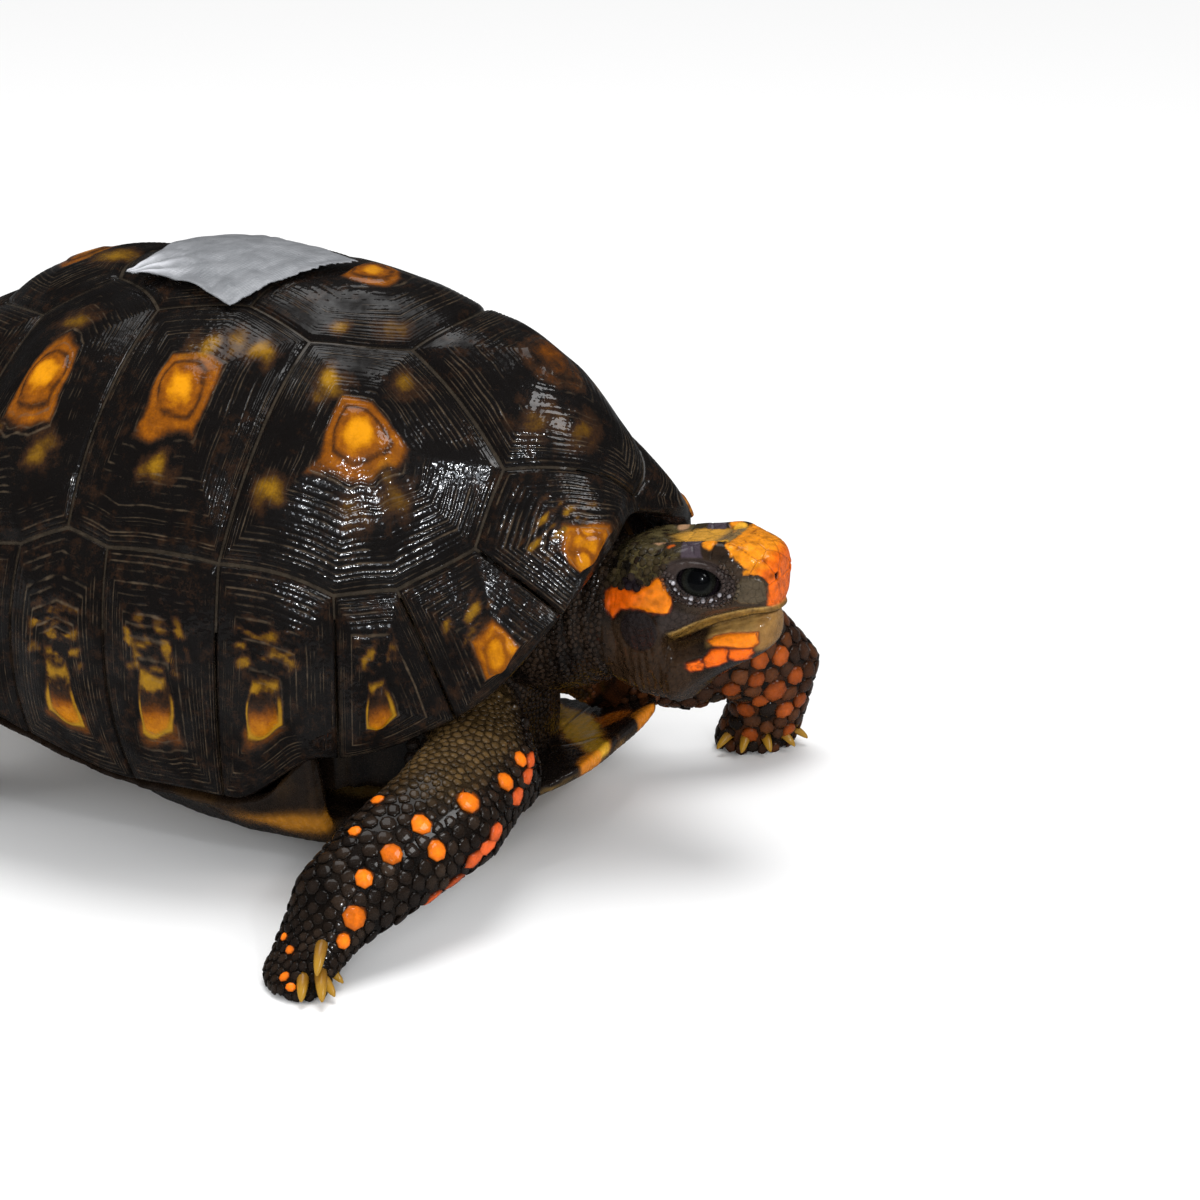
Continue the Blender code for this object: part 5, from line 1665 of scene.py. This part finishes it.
def claw_material(name):
    material, shader = start_material(name)
    streak = noise(material, object_place(material), 1300, 4, 0.65)
    mixed = sum_of(material, first_measure(material, "nail"), streak, 0.45)
    join(material, ramp(material, mixed, CLAW_TONES), shader, "Base Color")
    join(material, bump(material, streak, 0.4, 0.0002), shader, "Normal")
    settle(shader, {"Roughness": 0.30, "Coat Weight": 0.6, "Coat Roughness": 0.1})
    return material


def ends_of(plain):
    """The upper and the lower end of a long thin part, from its points."""
    plain = np.unique(plain.round(6), axis=0)
    middle = plain.mean(0)
    reach = (plain - middle) @ np.linalg.svd(plain - middle)[2][0]
    ends = [plain[reach < reach.min() + 0.0008].mean(0), plain[reach > reach.max() - 0.0008].mean(0)]
    return sorted(ends, key=lambda end: -end[2])


def claw(name):
    """A bent tube of rings, from inside the toe to the tip."""
    root, tip = ends_of(read(bpy.data.objects[name], "co"))
    _, closest, _ = skin_tree.find(root)
    above = (root - skin_points[closest]) @ skin_normals[closest]
    root = root - skin_normals[closest] * max(above + 0.0015, 0)
    tip = root + (tip - root) * SHORTENED
    length = np.linalg.norm(tip - root)
    root = root - (tip - root) * 0.10
    knee = (root + tip) / 2 + np.array([0, 0, 0.16 * length])
    piece, column, row = net("nail_" + name[5:], CLAW_SIDES, CLAW_RINGS)
    share = np.clip((row - 1) / (CLAW_RINGS - 2), 0, 1)[:, None]
    spine = root * (1 - share) ** 2 + 2 * knee * share * (1 - share) + tip * share**2
    way = unit(2 * (knee - root) * (1 - share) + 2 * (tip - knee) * share)
    beside = unit(np.cross(way, (0, 0, 1)))
    above = np.cross(beside, way)
    turn = column * math.tau / CLAW_SIDES
    thick = CLAW_THICK * (1 - share[:, 0] ** 2.4) ** 0.62 + 0.0003
    thick = np.where((row == 0) | (row == CLAW_RINGS), 0, thick)
    flatter = np.where(np.sin(turn) > 0, 1.0, 0.62)
    sideways = beside * (np.cos(turn) * thick)[:, None]
    bend(piece, spine + sideways + above * (np.sin(turn) * thick * flatter)[:, None])
    paint(piece, "nail", share)
    close_up(piece)
    finish_plate(piece, [name], nail_horn)


nail_horn = claw_material("claw_horn_wet")
skin_points, skin_normals = read(skin, "co"), read(skin, "normal")
skin_tree = tree_of(skin_points)
claws = sorted(name for name in bpy.data.objects.keys() if name.startswith("claw_"))
for name in claws:
    claw(name)
print(len(claws), "claws")

# %% [markdown]
# ## The underside
#
# The plastron is a flat shield of paired plates. Copies of the plain parts are remeshed into one piece, so
# that its rim is round, and the seams and growth lines are pressed in by distance from the seams.

# %% Plastron
PLASTRON = ["plastron_front", "plastron_bridge", "plastron_rear"]
BELLY_VOXEL = 0.0013
plastron = merged_copy(PLASTRON, "belly_shield")
apply(plastron, "REMESH", mode="VOXEL", voxel_size=BELLY_VOXEL, adaptivity=0.0)
apply(plastron, "SMOOTH", factor=0.5, iterations=10)
spot, normal = measured(read(plastron, "co")), read(plastron, "normal")
left, ahead, up = np.abs(spot[:, 0]), spot[:, 1], spot[:, 2]
SEAM_LINES = (0.098, 0.070, 0.036, -0.012, -0.058, -0.092)
wave = 0.0020 * ripple(spot[:, :2], 0.06, 31) + 0.006 * (left / 0.06) ** 2
seam = np.minimum.reduce([np.abs(ahead + wave - line) for line in SEAM_LINES] + [left])
rings = np.sin(seam / 0.0019 * math.tau / 2 + ripple(spot[:, :2], 0.03, 32) * 0.8)
outwards = step_up(seam, 0.0008, 0.0002)
relief = -0.0005 * outwards + 0.00007 * rings * step_up(seam, 0.001, 0.003) + 0.0003 * ripple(spot, 0.02, 33)
# The bridges' ends are drawn in, and moved up or down to meet the rim plates.
ends = step_up(ahead, 0.042, 0.058) + step_up(ahead, -0.045, -0.066)
wing = ends * step_up(left, 0.046, 0.060)
inward = -np.sign(spot[:, 0]) * wing * (left - 0.046) * np.where(ahead > 0, 0.06, 0.40)
lowered = wing * (up - 0.014).clip(0) * np.where(ahead > 0, 0.20, -0.30)
bend(plastron, read(plastron, "co") + normal * relief[:, None] + np.stack([inward, 0 * inward, lowered], 1))
blotch = ripple(spot, 0.030, 34) + 0.4 * ripple(spot, 0.011, 35)
middle = step_up(left + 0.006 * blotch, 0.052, 0.030) * step_up(seam, 0.0, 0.006)
front = step_up(ahead, 0.062, 0.070) * step_up(normal[:, 2], -0.2, 0.1)
# The orange bar across the front lobe, as left and forwards.
BAR = np.array([(0.046, 0.076), (0.0342, 0.0878), (0.023, 0.0985), (0.0086, 0.1086), (-0.0088, 0.1201),
                (-0.016, 0.127)])
bar = np.full(len(spot), 1.0)
for start, end in zip(BAR[:-1], BAR[1:]):
    way = end - start
    share = np.clip((spot[:, :2] - start) @ way / (way @ way), 0, 1)
    bar = np.minimum(bar, np.linalg.norm(spot[:, :2] - start - share[:, None] * way, axis=1))
bar += 0.0012 * blotch
patches = step_up(np.hypot(spot[:, 0] - 0.019, (ahead - 0.1125) * 1.3) + 0.002 * blotch, 0.0095, 0.0065)
tip = step_up(np.hypot((left - 0.021) * 0.8, ahead - 0.1255) + 0.001 * blotch, 0.0065, 0.0045)
bridge = step_up(left, 0.040, 0.052) * step_up(ahead, 0.094, 0.086)
strip = bell(np.abs(up - 0.0195) - 0.001 * blotch, 0.0022) * bridge * step_up(left, 0.070, 0.076)
strip *= step_up(ahead, 0.026, 0.042) * step_up(ahead, 0.078, 0.068)
colours = lay(
    np.tile((0.36, 0.215, 0.055), (len(spot), 1)),
    (step_up(blotch, 0.1, 0.8) * 0.8, (0.20, 0.095, 0.022)),
    (middle * 0.92, (0.022, 0.014, 0.010)),
    (front * 0.98, (0.010, 0.007, 0.006)),
    (front * step_up(bar, 0.0064, 0.0048), (0.30, 0.11, 0.012)),
    # The bar, the red patch and the tip are real marks, but painted brighter than their own colour: the extra
    # brightness stands in for light on the lobe, which lies in shade under the head.
    (front * step_up(bar, 0.0050, 0.0032), (0.95, 0.50, 0.030)),
    (patches * step_up(bar, 0.0040, 0.0052) * 0.85, (0.66, 0.17, 0.012)),
    (tip * (ahead > 0.1) * 0.85, (0.85, 0.27, 0.016)),
    (bridge, (0.012, 0.0075, 0.005)),
    (bridge * step_up(blotch, 0.2, 1.0) * 0.5, (0.050, 0.026, 0.009)),
    (strip * (0.7 + 0.2 * blotch), (0.42, 0.165, 0.012)),
    (outwards * (0.8 - 0.7 * bridge), (0.07, 0.035, 0.015)))
paint(plastron, "coat", colours)
plastron_horn = damp_skin("wet_plastron", 0.16, 0.32)
bpy.ops.object.shade_smooth()
finish_plate(plastron, PLASTRON, plastron_horn)
print("plastron:", len(plastron.data.polygons), "faces")

# %% [markdown]
# ## The patch of cloth tape
#
# A square of silver cloth tape lies over the third plate of the back. It was cut flat, so its width and
# length stay what they were, while it bends over the dome, tents over the plates' edges and wrinkles. One
# edge is torn and frays. Its weave is a fine grid, laid on in the tape's own flat coordinates.

# %% Tape
CUT = np.array([(-0.130, -0.140), (-0.216, 0.072), (0.000, 0.150), (0.090, -0.060)])
TAPE_WIDTH, TAPE_LENGTH, TAPE_THICK = 0.048, 0.052, 0.00028
steps = 96
tape, column, row = net("tape_cloth", 2 * steps + 1, steps)
lower = column > steps
across = np.where(lower, 2 * steps + 1 - column, column) / steps
along = row / steps
dice = np.random.default_rng(12)
ragged = np.interp(across, np.linspace(0, 1, 70), dice.uniform(0, 1, 70) ** 2)
fray = (0.010 + 0.030 * step_up(across, 0.3, 1.0)) * ragged * step_up(along, 0.7, 1.0)
held = along - fray
edge = np.interp(along, np.linspace(0, 1, 40), dice.uniform(0, 0.006, 40))
sideways = across - edge * step_up(across, 0.9, 1.0)
near, far = 1 - sideways, 1 - held
plan = np.stack([near * far, near * held, sideways * held, sideways * far], 1) @ CUT
creased = np.stack([across * TAPE_WIDTH + along * 0.012, along * TAPE_LENGTH - across * 0.020], 1)
folds = np.abs(ripple(creased * np.array([1, 0.25]), 0.011, 21, 5)) ** 1.5
crumple = np.abs(ripple(creased, 0.016, 22, 6))
hill = 0.0014 * bell(np.hypot(plan[:, 0], plan[:, 1] + 0.02), 0.12)
out = 0.0021 + hill + 0.0007 * folds * step_up(across, 0.9, 0.3) + 0.00035 * crumple
fan = np.abs(np.sin(np.arctan2(along, across + 0.03) * 6 + 0.5)) ** 0.8
fan *= step_up(np.hypot(across, along), 0.60, 0.15)
out += 0.0012 * fan
curl = step_up(along, 0.86, 1.0) * bell(across - 0.9, 0.25) + 0.5 * step_up(across, 0.10, 0.0)
meets = (row == 0) | (row == steps) | (column == 0) | (column == 2 * steps + 1)
out = out + 0.0008 * curl + np.where(lower | meets, 0, TAPE_THICK)
bend(tape, on_shell(plan[:, 0], plan[:, 1], out))
corner = np.empty(len(tape.data.loops), np.int32)
tape.data.loops.foreach_get("vertex_index", corner)
tape.data.uv_layers[0].data.foreach_set("uv", np.stack([across, along], 1)[corner].astype(np.float32).ravel())
# Where the folds fan out at one corner, their crests get a painted highlight: the share of a pale glare
# colour, stored as the coat.
paint(tape, "coat", np.stack([fan**3] * 3, 1))
close_up(tape)


TAPE_TONES = ((0.30, (0.235, 0.245, 0.262)), (0.55, (0.315, 0.325, 0.345)), (0.75, (0.375, 0.385, 0.405)))
# The pale colour of the painted highlight on the fold crests.
GLARE = (0.78, 0.79, 0.84)


def threads(material, uv, count, direction):
    sockets = {"Vector": uv, "Scale": count, "Distortion": 0.4, "Detail": 1.0}
    return add(material, "TexWave", sockets, bands_direction=direction).outputs[1]


def tape_material(name):
    material, shader = start_material(name)
    uv = add(material, "TexCoord").outputs["UV"]
    where = object_place(material)
    weave = sum_of(material, threads(material, uv, 15.0, "X"), threads(material, uv, 9.0, "Y"))
    colour = ramp(material, noise(material, where, 160, 5, 0.6), TAPE_TONES)
    glare = add(material, "Attribute", attribute_name="coat").outputs["Fac"]
    join(material, blend_colours(material, glare, colour, GLARE), shader, "Base Color")
    rough = remap(material, noise(material, where, 500, 3), 0.3, 0.7, 0.26, 0.46)
    join(material, rough, shader, "Roughness")
    cloth = bump(material, weave, 0.35, 0.00012)
    join(material, bump(material, noise(material, where, 240, 4, 0.7), 0.5, 0.0006, cloth), shader, "Normal")
    settle(shader, {"Metallic": 0.15, "Coat Weight": 0.3, "Coat Roughness": 0.15})
    return material


finish_plate(tape, ["tape_patch"], tape_material("silver_cloth_tape"))
print("tape of", len(tape.data.polygons), "faces")
